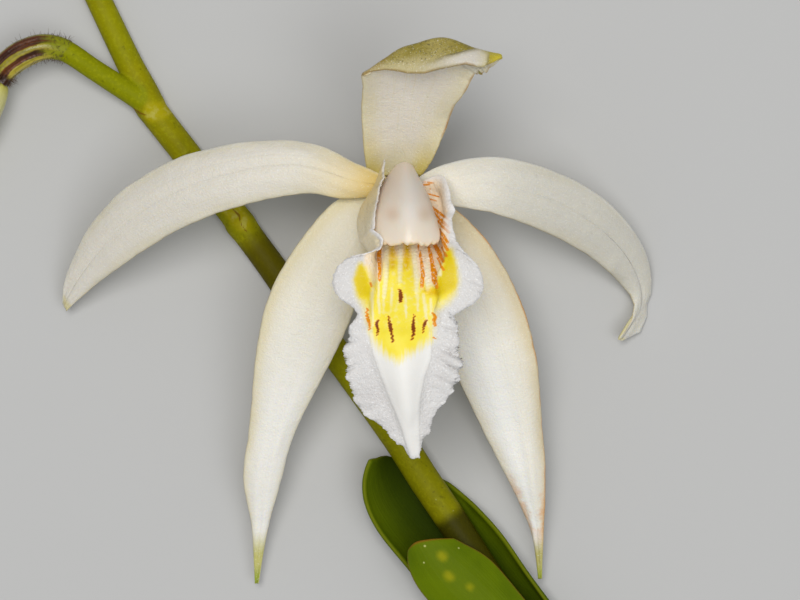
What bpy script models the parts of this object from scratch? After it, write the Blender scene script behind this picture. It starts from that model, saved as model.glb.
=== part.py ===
"""A cut flowering stem of a Coelogyne orchid, lying on a surface with its open bloom facing up.

The stem runs along the surface under the bloom. Its flower stalk rises behind the bloom to a ribbed
ovary, whose top carries three sepals, two petals, the lip and the column. A second stalk carries a
closed bud, and two young leaves clasp the lower end of the stem.

Units are metres. +Z points up, out of the bloom's face, and +Y points to the bloom's top. The origin
lies on the surface, under the stem's middle node, from which the bloom's stalk grows.
"""

import math

import bmesh
import bpy
from mathutils import Vector

MM = 0.001

# Thickness of each kind of blade, in millimetres.
TEPAL_THICKNESS = 0.6
LIP_THICKNESS = 0.6
COLUMN_THICKNESS = 0.7
LEAF_THICKNESS = 0.6

# Rows along and columns across each kind of blade.
TEPAL_ROWS, TEPAL_COLUMNS = 24, 8
LIP_ROWS, LIP_COLUMNS = 52, 24
COLUMN_ROWS, COLUMN_COLUMNS = 14, 12
LEAF_ROWS, LEAF_COLUMNS = 22, 12

# The groove along the middle of each petal and sepal, in millimetres.
GROOVE_DEPTH = 0.15
GROOVE_HALF_WIDTH = 0.16  # share of the blade's half width
DORSAL_GROOVE_END = 0.5  # share of the top sepal's length, where its tip starts to fold over

# The lip's three keels: where each stands between the rails, how high, and over which part of the lip.
KEELS = (2.25, 3.0, 3.75)
KEEL_HEIGHT = 0.35
KEEL_HALF_WIDTH = 0.2
KEEL_START, KEEL_END = 0.1, 0.62

# The lip's margin past its side lobes: how far each tooth is drawn in, as a share of the lip's width,
# and the waves of the margin, whose height is in millimetres.
TOOTH_INSET = 0.024
TOOTH_START = 0.3
WAVE_HEIGHT = 0.22
WAVES = 8
MARGIN_FADE = 0.25  # share of the lip's length, up to its tip, over which teeth and waves die out

# A blade is given by its rails: curves from its base to its tip, in order across it, in millimetres.
LEFT_PETAL = (
    [(6.6, 11.0, 10.7), (4.4, 12.1, 11.1), (0.4, 13.8, 11.4), (-4.6, 13.8, 10.8),
     (-10.4, 12.5, 8.9), (-15.7, 9.3, 6.2), (-19.0, 4.7, 3.2), (-20.0, 0.9, 1.5)],
    [(6.4, 10.3, 11.0), (4.1, 10.7, 11.7), (-0.2, 11.9, 12.2), (-5.0, 11.5, 11.6),
     (-10.0, 10.0, 9.8), (-14.6, 7.2, 7.0), (-18.1, 3.5, 3.7), (-19.85, 0.6, 1.5)],
    [(6.5, 9.6, 10.7), (3.8, 9.3, 11.2), (0.1, 9.7, 11.5), (-5.0, 8.7, 10.9),
     (-9.3, 7.2, 9.1), (-13.5, 4.9, 6.4), (-17.3, 2.3, 3.4), (-19.7, 0.3, 1.5)],
)
RIGHT_PETAL = (
    [(9.6, 11.0, 10.7), (11.8, 12.2, 11.0), (15.8, 12.6, 11.0), (20.4, 11.5, 9.2), (24.5, 9.3, 6.4),
     (27.5, 6.1, 3.0), (28.6, 2.9, 0.8), (28.2, 0.1, 0.2), (27.2, -1.5, 0.6), (26.0, -2.2, 1.2)],
    [(9.9, 10.3, 11.0), (12.0, 10.5, 11.6), (15.5, 10.5, 11.6), (19.4, 9.5, 9.9), (23.2, 7.5, 7.1),
     (26.2, 5.0, 3.8), (27.6, 2.4, 1.5), (27.6, 0.4, 1.0), (26.7, -1.1, 1.3), (25.9, -2.05, 1.5)],
    [(9.7, 9.6, 10.7), (11.8, 8.8, 11.1), (15.0, 8.2, 11.1), (18.4, 7.1, 9.4), (21.8, 5.6, 6.7),
     (24.8, 3.7, 3.5), (26.6, 1.9, 1.5), (27.0, 0.5, 1.5), (26.3, -0.9, 2.0), (25.8, -1.9, 1.8)],
)
DORSAL_SEPAL = (
    [(6.8, 11.2, 9.9), (5.2, 12.7, 10.3), (4.7, 15.7, 13.0), (4.9, 18.1, 15.6), (5.5, 19.0, 17.6),
     (7.8, 18.9, 18.8), (10.9, 19.1, 19.5), (13.6, 19.7, 19.5), (15.7, 20.2, 18.4)],
    [(8.1, 12.1, 9.8), (7.6, 13.2, 10.2), (8.0, 15.8, 12.8), (8.4, 18.5, 15.5), (7.7, 20.5, 17.8),
     (9.4, 21.2, 18.5), (11.6, 21.3, 18.6), (13.9, 20.5, 18.4), (15.8, 20.1, 18.1)],
    [(9.5, 11.2, 9.9), (10.3, 12.4, 10.4), (11.6, 15.2, 13.0), (12.9, 17.4, 15.8), (13.5, 18.5, 16.8),
     (13.9, 18.8, 16.9), (14.3, 19.1, 16.9), (14.9, 19.5, 17.1), (15.9, 20.0, 17.8)],
)
LEFT_LATERAL_SEPAL = (
    [(6.2, 9.6, 9.6), (3.2, 9.5, 9.7), (-0.2, 6.0, 9.5), (-2.7, 1.8, 8.9), (-3.8, -3.0, 7.7),
     (-4.5, -9.4, 5.6), (-5.0, -13.4, 4.2), (-4.4, -17.5, 2.7), (-4.2, -22.2, 1.3)],
    [(6.8, 9.0, 9.9), (4.6, 7.9, 10.2), (2.3, 4.6, 10.2), (0.6, 0.9, 9.7), (-0.8, -3.5, 8.5),
     (-2.4, -9.4, 6.4), (-3.4, -13.3, 4.9), (-3.7, -17.5, 2.9), (-4.05, -22.2, 1.3)],
    [(7.4, 8.4, 9.6), (5.9, 6.3, 9.7), (4.7, 3.0, 9.6), (3.9, -0.1, 9.0), (2.1, -4.0, 7.8),
     (-0.7, -9.4, 5.7), (-1.9, -13.4, 4.3), (-3.0, -17.5, 2.8), (-3.9, -22.2, 1.3)],
)
RIGHT_LATERAL_SEPAL = (
    [(8.8, 8.3, 9.6), (9.5, 6.0, 9.7), (10.5, 2.2, 9.5), (11.1, -1.1, 8.9), (12.2, -4.3, 7.7),
     (14.6, -9.6, 5.6), (16.8, -13.7, 4.2), (18.5, -17.7, 2.7), (19.2, -21.8, 1.5)],
    [(9.4, 8.9, 9.9), (11.1, 7.1, 10.2), (13.0, 3.8, 10.2), (14.4, 0.2, 9.7), (15.5, -3.8, 8.5),
     (17.1, -9.2, 6.4), (18.2, -13.8, 4.9), (19.0, -17.8, 2.9), (19.35, -21.8, 1.5)],
    [(10.1, 9.6, 9.6), (12.5, 8.3, 9.7), (15.4, 5.1, 9.6), (17.5, 1.2, 9.0), (18.8, -3.5, 7.8),
     (19.4, -8.9, 5.7), (19.7, -14.0, 4.3), (19.6, -17.9, 2.8), (19.5, -21.8, 1.5)],
)
COLUMN = (
    [(7.45, 11.4, 12.8), (6.6, 9.5, 13.7), (5.8, 7.7, 15.2), (6.2, 6.1, 17.4)],
    [(8.15, 11.6, 12.95), (8.2, 9.9, 14.8), (8.4, 7.9, 17.0), (8.6, 6.2, 18.6)],
    [(8.9, 11.4, 12.7), (9.7, 9.5, 13.6), (10.5, 7.8, 15.4), (10.9, 6.2, 17.5)],
)
# The lip's rails: margin, crest and foot of the left side lobe, the midrib, then foot, crest and margin
# of the right one. Past the notch they are the mid-lobe's margin, blade and groove.
LIP = (
    [(6.7, 10.4, 12.0), (6.2, 11.5, 14.8), (6.0, 9.4, 16.8), (5.9, 6.3, 18.6), (4.2, 4.8, 19.0),
     (2.6, 2.6, 18.9), (4.2, 0.7, 19.0), (3.5, -1.8, 18.6), (3.4, -4.3, 18.4), (4.3, -6.9, 17.7),
     (6.5, -9.0, 17.2), (8.5, -11.0, 16.3)],
    [(7.1, 10.2, 11.95), (5.7, 10.4, 13.6), (5.2, 8.4, 15.0), (5.4, 5.9, 17.2), (6.0, 4.9, 18.2),
     (5.5, 3.0, 18.6), (5.2, 1.0, 18.9), (4.6, -2.0, 18.8), (4.8, -4.3, 18.6), (5.7, -7.0, 17.9),
     (7.1, -8.9, 17.3), (8.7, -11.1, 16.3)],
    [(7.6, 10.0, 11.9), (5.5, 9.4, 12.6), (4.6, 7.4, 12.9), (4.7, 5.2, 14.4), (5.1, 3.9, 15.7),
     (5.5, 2.0, 17.2), (5.8, 0.2, 18.4), (5.6, -2.2, 18.8), (6.2, -4.4, 18.7), (7.1, -6.9, 18.0),
     (7.8, -8.8, 17.4), (8.8, -11.1, 16.3)],
    [(8.1, 10.0, 11.9), (8.0, 9.1, 12.3), (8.0, 7.2, 12.8), (8.0, 5.0, 14.2), (8.0, 3.4, 15.8),
     (8.0, 1.5, 17.4), (8.0, -0.2, 18.7), (8.0, -2.3, 19.4), (8.0, -4.6, 19.4), (8.3, -7.1, 18.6),
     (8.4, -9.0, 17.5), (8.9, -11.2, 16.3)],
    [(8.6, 10.0, 11.9), (10.6, 9.4, 12.6), (11.4, 7.4, 12.9), (11.4, 5.2, 14.4), (11.0, 3.7, 15.8),
     (10.6, 1.8, 17.3), (10.3, 0.1, 18.4), (10.2, -2.2, 18.8), (9.7, -4.4, 18.7), (9.4, -6.9, 18.0),
     (9.1, -8.8, 17.4), (9.0, -11.1, 16.3)],
    [(9.0, 10.3, 11.95), (11.1, 10.3, 13.4), (11.6, 8.4, 15.0), (11.6, 6.4, 17.2), (11.6, 5.1, 18.0),
     (11.2, 3.2, 18.4), (10.9, 1.0, 18.8), (11.4, -2.0, 18.7), (11.2, -4.3, 18.6), (10.5, -6.8, 17.8),
     (9.7, -8.8, 17.3), (9.1, -11.1, 16.3)],
    [(9.4, 10.5, 12.0), (11.4, 11.0, 14.4), (12.0, 8.8, 16.4), (12.4, 6.7, 18.2), (13.3, 4.6, 18.9),
     (14.5, 2.3, 18.8), (11.9, 0.0, 18.9), (12.6, -1.9, 18.5), (12.5, -4.1, 18.3), (11.4, -6.5, 17.7),
     (10.2, -8.8, 17.2), (9.3, -11.0, 16.3)],
)

# The young leaves are set out along the stem's lower end: millimetres along from the cut, to the right
# of the stem seen from above, and up from the surface.
SHOOT_FOOT = (23.4, -33.8)
SHOOT_HEADING = math.radians(124.0)  # from +X towards the bloom's stem
LEAF_BACK = (
    [(0.0, -2.6, 4.8), (5.1, -3.2, 4.2), (9.8, -3.8, 3.7), (14.4, -4.6, 3.7), (19.0, -5.0, 3.9),
     (23.3, -5.3, 4.1), (26.2, -4.6, 4.2), (28.3, -2.7, 4.0)],
    [(0.0, -2.85, 1.9), (5.1, -2.9, 1.9), (9.2, -3.1, 1.8), (13.9, -3.5, 1.7), (18.5, -3.9, 1.8),
     (22.9, -4.3, 2.2), (26.0, -3.9, 2.8), (28.1, -2.3, 3.2)],
    [(0.0, 0.0, 0.3), (5.1, 0.0, 0.3), (9.2, -0.1, 0.25), (13.3, -0.4, 0.25), (17.4, -0.8, 0.25),
     (21.6, -1.3, 0.3), (24.6, -1.7, 0.5), (27.0, -1.6, 0.9)],
    [(0.0, 2.75, 1.9), (5.1, 2.75, 1.8), (9.2, 2.4, 1.6), (13.3, 2.0, 1.5), (17.4, 1.7, 1.3),
     (20.5, 1.3, 0.9), (22.6, 0.8, 0.4), (25.1, 0.2, 0.3)],
    [(0.0, 2.6, 4.8), (5.1, 2.9, 4.2), (9.2, 2.8, 3.6), (13.3, 2.7, 3.3), (17.0, 2.7, 3.1),
     (19.8, 2.3, 2.5), (21.5, 1.9, 1.5), (23.0, 1.5, 0.8)],
)
LEAF_FRONT = (
    [(0.0, -1.8, 2.4), (4.1, -2.0, 2.9), (7.7, -2.4, 4.5), (11.8, -4.0, 4.9), (15.9, -5.1, 5.0),
     (18.7, -5.1, 5.2), (20.4, -4.1, 5.4)],
    [(0.0, -1.7, 4.2), (4.1, -1.8, 4.4), (7.7, -1.8, 5.1), (11.8, -2.7, 5.7), (15.9, -3.7, 6.0),
     (18.6, -3.8, 6.1), (20.7, -3.4, 5.9)],
    [(0.0, 0.0, 5.1), (4.1, 0.0, 5.2), (7.7, -0.4, 5.4), (11.6, -1.2, 5.9), (15.9, -2.2, 6.3),
     (18.4, -2.5, 6.4), (20.4, -2.5, 6.1)],
    [(0.0, 1.7, 4.2), (4.1, 1.7, 4.3), (7.7, 1.0, 4.9), (11.6, 0.2, 5.5), (15.9, -0.5, 5.9),
     (18.4, -1.2, 6.2), (19.8, -1.5, 6.0)],
    [(0.0, 1.8, 2.4), (4.1, 1.9, 2.8), (7.7, 1.8, 3.9), (11.6, 1.4, 4.6), (15.9, 0.9, 4.9),
     (18.4, -0.2, 5.5), (19.1, -0.7, 5.6)],
)

# A stem is given by points along its middle and its radius there: x, y, z, radius, in millimetres.
SCAPE = (
    (-22.6, 37.2, 0.8, 0.6), (-19.8, 31.6, 0.9, 0.95), (-17.1, 26.0, 0.97, 1.05),
    (-14.7, 21.0, 1.0, 1.1), (-13.4, 18.5, 1.08, 1.18), (-12.9, 17.3, 1.15, 1.3),
    (-12.0, 16.0, 1.1, 1.2), (-6.2, 8.6, 1.08, 1.18), (-5.4, 7.5, 1.15, 1.28),
    (-4.6, 6.4, 1.08, 1.18), (-2.4, 3.4, 1.0, 1.2), (0.0, 0.0, 1.05, 1.34), (1.5, -1.9, 1.0, 1.25),
    (3.7, -4.8, 1.25, 1.25), (7.6, -10.2, 1.95, 1.28), (9.8, -13.6, 2.3, 1.3),
    (11.9, -16.7, 2.45, 1.3), (14.2, -20.3, 2.65, 1.3), (16.5, -23.7, 2.85, 1.3),
    (19.7, -28.4, 3.1, 1.27), (23.4, -33.8, 3.2, 1.22),
)
BUD_STALK = (
    (-12.7, 16.9, 1.3, 0.9), (-14.0, 18.0, 1.5, 0.95), (-15.9, 19.2, 2.2, 0.9),
    (-17.6, 20.3, 2.9, 0.88), (-18.9, 21.2, 3.4, 0.9), (-19.8, 21.7, 3.5, 0.92),
)
FLOWER_STALK = (
    (0.2, -0.3, 1.3, 0.95), (1.2, 0.9, 2.2, 0.95), (2.7, 2.6, 3.6, 0.92), (3.8, 4.1, 4.6, 0.92),
    (4.5, 5.1, 5.3, 0.95),
)
BUD_OVARY = (
    (-20.45, 21.85, 3.5, 0.95), (-21.3, 21.9, 3.5, 1.08), (-23.0, 21.4, 3.3, 1.15),
    (-24.4, 20.4, 3.1, 1.15), (-24.9, 19.9, 3.0, 1.05),
)
FLOWER_OVARY = (
    (4.8, 5.4, 5.5, 1.0), (6.0, 7.2, 6.6, 1.15), (7.2, 9.0, 7.6, 1.2), (7.9, 10.0, 8.8, 1.2),
    (8.1, 10.3, 10.2, 1.15), (8.1, 10.4, 11.2, 1.15),
)
FLOWER_BUD = (
    (-25.2, 19.4, 3.0, 0.9), (-26.0, 18.3, 2.95, 1.7), (-27.9, 15.7, 2.85, 2.3),
    (-30.4, 12.5, 2.75, 2.4), (-32.7, 9.6, 2.5, 1.7), (-34.3, 7.5, 2.3, 0.8), (-34.9, 6.8, 2.2, 0.3),
)
STEM_STEP = 1.5  # length of one straight piece of a stem
STALK_SIDES = 12
OVARY_RIBS, OVARY_RIB_DEPTH = 6, 0.16
BUD_SEAMS, BUD_SEAM_DEPTH = 3, 0.08
PROFILE_SIDES = 24

ANTHER_CENTRE = (8.6, 6.0, 16.75)
ANTHER_HALF_SIZE = (0.7, 0.5, 0.4)

WHITE = (0.86, 0.84, 0.74)
LIP_WHITE = (0.85, 0.86, 0.9)
IVORY = (0.85, 0.74, 0.64)
YELLOW = (0.9, 0.78, 0.2)
STEM_GREEN = (0.3, 0.3, 0.02)
OVARY_BROWN = (0.33, 0.2, 0.03)
LEAF_GREEN = (0.13, 0.24, 0.02)
OLD_LEAF_GREEN = (0.05, 0.13, 0.01)
BUD_CREAM = (0.75, 0.74, 0.45)


def clear_scene():
    """Empties the scene that this file runs in."""
    for thing in list(bpy.data.objects):
        bpy.data.objects.remove(thing)


def material(name, colour, roughness):
    """A plain surface of one colour."""
    made = bpy.data.materials.new(name)
    made.use_nodes = True
    shader = made.node_tree.nodes["Principled BSDF"]
    shader.inputs["Base Color"].default_value = (*colour, 1.0)
    shader.inputs["Roughness"].default_value = roughness
    shader.inputs["Metallic"].default_value = 0.0
    return made


def along_curve(points, share):
    """The point at this share of a smooth curve through the points, which it takes as evenly spaced."""
    last = len(points) - 1
    place = min(max(share, 0.0), 1.0) * last
    start = min(int(place), last - 1)
    t = place - start
    p0, p1, p2, p3 = (Vector(points[min(max(start + step, 0), last)]) for step in (-1, 0, 1, 2))
    if start == 0:
        p0 = p3 - 3 * (p2 - p1)
    if start + 2 > last:
        p3 = p0 + 3 * (p2 - p1)
    return 0.5 * (
        2 * p1 + (p2 - p0) * t + (2 * p0 - 5 * p1 + 4 * p2 - p3) * t**2 + (3 * (p1 - p2) + p3 - p0) * t**3
    )


def bump(distance, half_width):
    """A smooth hump: 1 in the middle, 0 at the half width and beyond."""
    reach = min(abs(distance) / half_width, 1.0)
    return 0.5 + 0.5 * math.cos(math.pi * reach)


def thicken(sheet, thickness):
    """Gives an open sheet its thickness, half of it to each side."""
    solidify = sheet.modifiers.new("Thickness", "SOLIDIFY")
    solidify.thickness = thickness * MM
    solidify.offset = 0.0


def sheet_from_rails(name, rails, rows, columns, detail=None, inset=None):
    """An open sheet through the rails, as a grid of rows along them and columns across them.

    detail(across, along) gives how far the sheet is raised there along its normal, in millimetres.
    inset(along) gives how far its margins are drawn in there, as a share of its width.
    """
    mesh = bpy.data.meshes.new(name)
    grid = bmesh.new()
    bmesh.ops.create_grid(grid, x_segments=columns, y_segments=rows, size=0.5)
    shares = {vertex: (vertex.co.x + 0.5, vertex.co.y + 0.5) for vertex in grid.verts}
    for vertex, (across, along) in shares.items():
        section = [along_curve(rail, along) for rail in rails]
        drawn_in = inset(along) if inset else 0.0
        vertex.co = along_curve(section, min(max(across, drawn_in), 1 - drawn_in)) * MM
    bmesh.ops.triangulate(grid, faces=grid.faces)
    bmesh.ops.recalc_face_normals(grid, faces=grid.faces)
    if sum(face.normal.z * face.calc_area() for face in grid.faces) < 0:
        bmesh.ops.reverse_faces(grid, faces=grid.faces)
    grid.normal_update()
    if detail:
        raised = {vertex: vertex.normal * detail(*shares[vertex]) * MM for vertex in grid.verts}
        for vertex, offset in raised.items():
            vertex.co += offset
    grid.to_mesh(mesh)
    grid.free()
    mesh.shade_smooth()
    sheet = bpy.data.objects.new(name, mesh)
    return sheet


def set_on_surface(piece):
    """Flattens what would reach below the surface, which gives the piece a flat spot to rest on."""
    mesh = piece.data
    for vertex in mesh.vertices:
        vertex.co.z = max(vertex.co.z, 0.0)


def applied(piece):
    """The piece with its modifiers applied and its mesh as the modifiers left it."""
    bpy.context.view_layer.update()
    graph = bpy.context.evaluated_depsgraph_get()
    mesh = bpy.data.meshes.new_from_object(piece.evaluated_get(graph))
    piece.modifiers.clear()
    piece.data = mesh
    return piece


def tepal(name, rails, part, surface, groove_end=1.0):
    """A petal or a sepal: a thin blade with a shallow groove along its middle, up to a share of its length."""

    def groove(across, along):
        depth = GROOVE_DEPTH * math.sin(math.pi * min(along / groove_end, 1.0)) ** 2
        return -depth * bump(2 * across - 1, GROOVE_HALF_WIDTH)

    blade = sheet_from_rails(name, rails, TEPAL_ROWS, TEPAL_COLUMNS, groove)
    blade.data.materials.append(surface)
    part.objects.link(blade)
    thicken(blade, TEPAL_THICKNESS)
    set_on_surface(applied(blade))
    return blade


def build_lip(part, surface):
    """The lip: side lobes standing round the column, flared front lobes, keels and a toothed mid-lobe."""
    last_rail = len(LIP) - 1

    def keels_and_waves(across, along):
        rise = 0.0
        if KEEL_START < along < KEEL_END:
            fade = math.sin(math.pi * (along - KEEL_START) / (KEEL_END - KEEL_START)) ** 0.5
            rise += sum(
                KEEL_HEIGHT * fade * bump(across * last_rail - keel, KEEL_HALF_WIDTH) for keel in KEELS
            )
        if along > TOOTH_START:
            edge = abs(2 * across - 1) ** 6 * min(1.0, (1 - along) / MARGIN_FADE)
            rise += WAVE_HEIGHT * edge * math.sin(2 * math.pi * WAVES * (along - TOOTH_START))
        return rise

    def teeth(along):
        toothed = along > TOOTH_START and round(along * LIP_ROWS) % 2
        return TOOTH_INSET * min(1.0, (1 - along) / MARGIN_FADE) if toothed else 0.0

    lip = sheet_from_rails("lip", LIP, LIP_ROWS, LIP_COLUMNS, keels_and_waves, teeth)
    lip.data.materials.append(surface)
    part.objects.link(lip)
    thicken(lip, LIP_THICKNESS)
    return lip


def build_column(part, surface):
    """The column: an arched hood that widens to its front edge."""
    column = sheet_from_rails("column", COLUMN, COLUMN_ROWS, COLUMN_COLUMNS)
    column.data.materials.append(surface)
    part.objects.link(column)
    thicken(column, COLUMN_THICKNESS)
    column.modifiers["Thickness"].offset = -1.0
    return column


def build_anther_cap(part, surface):
    """The small rounded cap under the column's front edge."""
    mesh = bpy.data.meshes.new("anther_cap")
    ball = bmesh.new()
    bmesh.ops.create_uvsphere(ball, u_segments=12, v_segments=8, radius=1.0)
    for vertex in ball.verts:
        vertex.co = Vector(
            (centre + half * share) * MM
            for centre, half, share in zip(ANTHER_CENTRE, ANTHER_HALF_SIZE, vertex.co)
        )
    ball.to_mesh(mesh)
    ball.free()
    mesh.shade_smooth()
    mesh.materials.append(surface)
    cap = bpy.data.objects.new("anther_cap", mesh)
    part.objects.link(cap)
    return cap


def shoot_point(along, right, up):
    """A place on the lower shoot, in millimetres, from its distances along, right of and above it."""
    heading = Vector((math.cos(SHOOT_HEADING), math.sin(SHOOT_HEADING), 0))
    side = Vector((heading.y, -heading.x, 0))
    return Vector((*SHOOT_FOOT, 0)) + along * heading + right * side + Vector((0, 0, up))


def leaf(name, rails, part, surface):
    """A young leaf that clasps the stem at its foot and opens towards its blunt tip."""
    placed = [[shoot_point(*point) for point in rail] for rail in rails]
    blade = sheet_from_rails(name, placed, LEAF_ROWS, LEAF_COLUMNS)
    blade.data.materials.append(surface)
    part.objects.link(blade)
    thicken(blade, LEAF_THICKNESS)
    set_on_surface(applied(blade))
    return blade


def star_profile(name, lobes, depth, helpers):
    """A closed outline of unit radius with rounded lobes, which a stem can be drawn out of."""
    curve = bpy.data.curves.new(name, "CURVE")
    curve.dimensions = "2D"
    curve.fill_mode = "NONE"
    spline = curve.splines.new("POLY")
    spline.points.add(PROFILE_SIDES - 1)
    spline.use_cyclic_u = True
    for i, point in enumerate(spline.points):
        turn = 2 * math.pi * i / PROFILE_SIDES
        radius = MM * (1 - depth * (0.5 + 0.5 * math.cos(lobes * turn)))
        point.co = (radius * math.cos(turn), radius * math.sin(turn), 0, 1)
    outline = bpy.data.objects.new(name, curve)
    outline.hide_render = True
    outline.display_type = "WIRE"
    helpers.objects.link(outline)
    return outline


def stem_curve(name, points, profile=None):
    """A tube along a smooth curve through the points, round or drawn out of a profile of unit radius."""
    curve = bpy.data.curves.new(name, "CURVE")
    curve.dimensions = "3D"
    curve.use_fill_caps = True
    if profile:
        curve.bevel_mode = "OBJECT"
        curve.bevel_object = profile
    else:
        curve.bevel_depth = MM
        curve.bevel_resolution = STALK_SIDES // 2 - 2
    length = sum((Vector(a[:3]) - Vector(b[:3])).length for a, b in zip(points, points[1:]))
    count = max(round(length / STEM_STEP), len(points)) + 1
    spline = curve.splines.new("POLY")
    spline.points.add(count - 1)
    for i, point in enumerate(spline.points):
        x, y, z, radius = along_curve(points, i / (count - 1))
        point.co = (x * MM, y * MM, z * MM, 1)
        point.radius = radius
    return bpy.data.objects.new(name, curve)


def stem_solid(name, points, part, surface, profile=None):
    """The tube as a closed mesh, with its end caps welded on."""
    tube = stem_curve(name + "_curve", points, profile)
    part.objects.link(tube)
    bpy.context.view_layer.update()
    graph = bpy.context.evaluated_depsgraph_get()
    mesh = bpy.data.meshes.new_from_object(tube.evaluated_get(graph))
    mesh.name = name
    solid = bpy.data.objects.new(name, mesh)
    solid.matrix_world = tube.matrix_world
    bpy.data.objects.remove(tube)
    welded = bmesh.new()
    welded.from_mesh(mesh)
    bmesh.ops.remove_doubles(welded, verts=welded.verts, dist=0.01 * MM)
    bmesh.ops.recalc_face_normals(welded, faces=welded.faces)
    welded.to_mesh(mesh)
    welded.free()
    mesh.shade_smooth()
    mesh.materials.clear()
    mesh.materials.append(surface)
    part.objects.link(solid)
    return solid


def build_scape(part, surface, helpers):
    """The flowering stem, with the two flower stalks that grow from its nodes joined to it."""
    scape = stem_solid("scape", SCAPE, part, surface)
    stalks = bpy.data.collections.new("stalks")
    helpers.children.link(stalks)
    for name, points in (("bud_stalk", BUD_STALK), ("flower_stalk", FLOWER_STALK)):
        stem_solid(name, points, stalks, surface)
    union = scape.modifiers.new("Stalks", "BOOLEAN")
    union.operation = "UNION"
    union.operand_type = "COLLECTION"
    union.collection = stalks
    applied(scape)
    for stalk in list(stalks.objects):
        bpy.data.objects.remove(stalk)
    set_on_surface(scape)
    return scape


def main():
    clear_scene()
    scene = bpy.context.scene.collection
    part = bpy.data.collections.new("coelogyne_orchid")
    helpers = bpy.data.collections.new("helpers")
    scene.children.link(part)
    scene.children.link(helpers)

    white = material("tepal white", WHITE, 0.5)
    tepal("dorsal_sepal", DORSAL_SEPAL, part, white, DORSAL_GROOVE_END)
    tepal("left_petal", LEFT_PETAL, part, white)
    tepal("right_petal", RIGHT_PETAL, part, white)
    tepal("left_lateral_sepal", LEFT_LATERAL_SEPAL, part, white)
    tepal("right_lateral_sepal", RIGHT_LATERAL_SEPAL, part, white)
    build_lip(part, material("lip white", LIP_WHITE, 0.5))
    build_column(part, material("column ivory", IVORY, 0.4))
    build_anther_cap(part, material("anther yellow", YELLOW, 0.5))

    build_scape(part, material("stem green", STEM_GREEN, 0.45), helpers)
    ribbed = star_profile("ovary_profile", OVARY_RIBS, OVARY_RIB_DEPTH, helpers)
    seamed = star_profile("bud_profile", BUD_SEAMS, BUD_SEAM_DEPTH, helpers)
    ovary_brown = material("ovary brown", OVARY_BROWN, 0.35)
    stem_solid("flower_ovary", FLOWER_OVARY, part, ovary_brown, ribbed)
    stem_solid("bud_ovary", BUD_OVARY, part, ovary_brown, ribbed)
    stem_solid("flower_bud", FLOWER_BUD, part, material("bud cream", BUD_CREAM, 0.5), seamed)

    leaf("leaf_back", LEAF_BACK, part, material("back leaf green", OLD_LEAF_GREEN, 0.4))
    leaf("leaf_front", LEAF_FRONT, part, material("front leaf green", LEAF_GREEN, 0.4))


main()
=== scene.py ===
"""A cut flowering stem of a Coelogyne orchid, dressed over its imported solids.

The stem lies on a pale surface with its open bloom facing up. Lengths are in millimetres, in the frame of
the solids, until a mesh is made: meshes are in metres. Every blade is a thin sheet drawn through rails,
which are curves from its base to its tip, and every stalk is a tube along a curve.
"""

import logging
import math
from dataclasses import dataclass, field
from enum import Enum
from typing import Any, Callable, Sequence

import bpy
import numpy as np
from bpy.types import Material, NodeSocket, Object
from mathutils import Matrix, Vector


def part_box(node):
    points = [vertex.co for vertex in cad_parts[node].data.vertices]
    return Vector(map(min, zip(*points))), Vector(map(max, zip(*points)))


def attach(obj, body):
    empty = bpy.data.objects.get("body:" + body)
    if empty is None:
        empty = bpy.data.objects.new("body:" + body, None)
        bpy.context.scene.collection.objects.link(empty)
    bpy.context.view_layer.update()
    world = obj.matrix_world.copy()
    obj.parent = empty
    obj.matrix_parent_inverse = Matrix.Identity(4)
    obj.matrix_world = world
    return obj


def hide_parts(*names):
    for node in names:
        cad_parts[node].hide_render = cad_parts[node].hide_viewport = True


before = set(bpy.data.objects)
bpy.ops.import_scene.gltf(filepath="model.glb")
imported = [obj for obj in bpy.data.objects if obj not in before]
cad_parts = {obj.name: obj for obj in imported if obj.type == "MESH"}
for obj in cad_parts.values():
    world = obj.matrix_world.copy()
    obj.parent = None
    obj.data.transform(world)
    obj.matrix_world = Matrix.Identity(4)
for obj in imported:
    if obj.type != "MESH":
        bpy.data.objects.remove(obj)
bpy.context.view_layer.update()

MM = 0.001
ROOT = "root"
UPWARDS = (0, 0, 1)

Array = np.ndarray
Colour = tuple[float, float, float]
Point = tuple[float, float, float]
Place = tuple[float, float]
Rail = list[Point]
Path = tuple[Point, ...]
Station = tuple[float, float, float, float]

log = logging.getLogger("coelogyne")


def srgb(*chart: int) -> Colour:
    """A linear colour from the red, green and blue that a colour chart gives, each from 0 to 255."""
    shares = [number / 255 for number in chart]
    return tuple(share / 12.92 if share <= 0.04045 else ((share + 0.055) / 1.055) ** 2.4 for share in shares)


def through(points: Array, shares: Array) -> Array:
    """Places on a smooth curve through evenly spaced points.

    Args:
        points: The points, first axis along the curve. There are at least three.
        shares: How far along the curve each place is, from 0 to 1.

    Returns:
        An array whose first axis follows shares and whose other axes are those of one point.
    """
    last = len(points) - 1
    before = points[2] - 3 * (points[1] - points[0])
    after = points[-3] + 3 * (points[-1] - points[-2])
    padded = np.concatenate([before[None], points, after[None]])
    place = np.clip(shares, 0, 1) * last
    start = np.minimum(place.astype(int), last - 1)
    t = (place - start).reshape((-1,) + (1,) * (points.ndim - 1))
    p0, p1, p2, p3 = (padded[start + step] for step in range(4))
    return 0.5 * (
        2 * p1
        + (p2 - p0) * t
        + (2 * p0 - 5 * p1 + 4 * p2 - p3) * t**2
        + (3 * (p1 - p2) + p3 - p0) * t**3
    )


def ramp(values: Array, low: float, high: float) -> Array:
    """0 up to low, 1 from high, and a smooth rise between them. High may be the lower one."""
    share = np.clip((values - low) / (high - low), 0, 1)
    return share * share * (3 - 2 * share)


def hump(distances: Array, half_width: float) -> Array:
    """1 where the distance is 0, falling smoothly to 0 at the half width."""
    return 0.5 + 0.5 * np.cos(np.pi * np.clip(np.abs(distances) / half_width, 0, 1))


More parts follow.
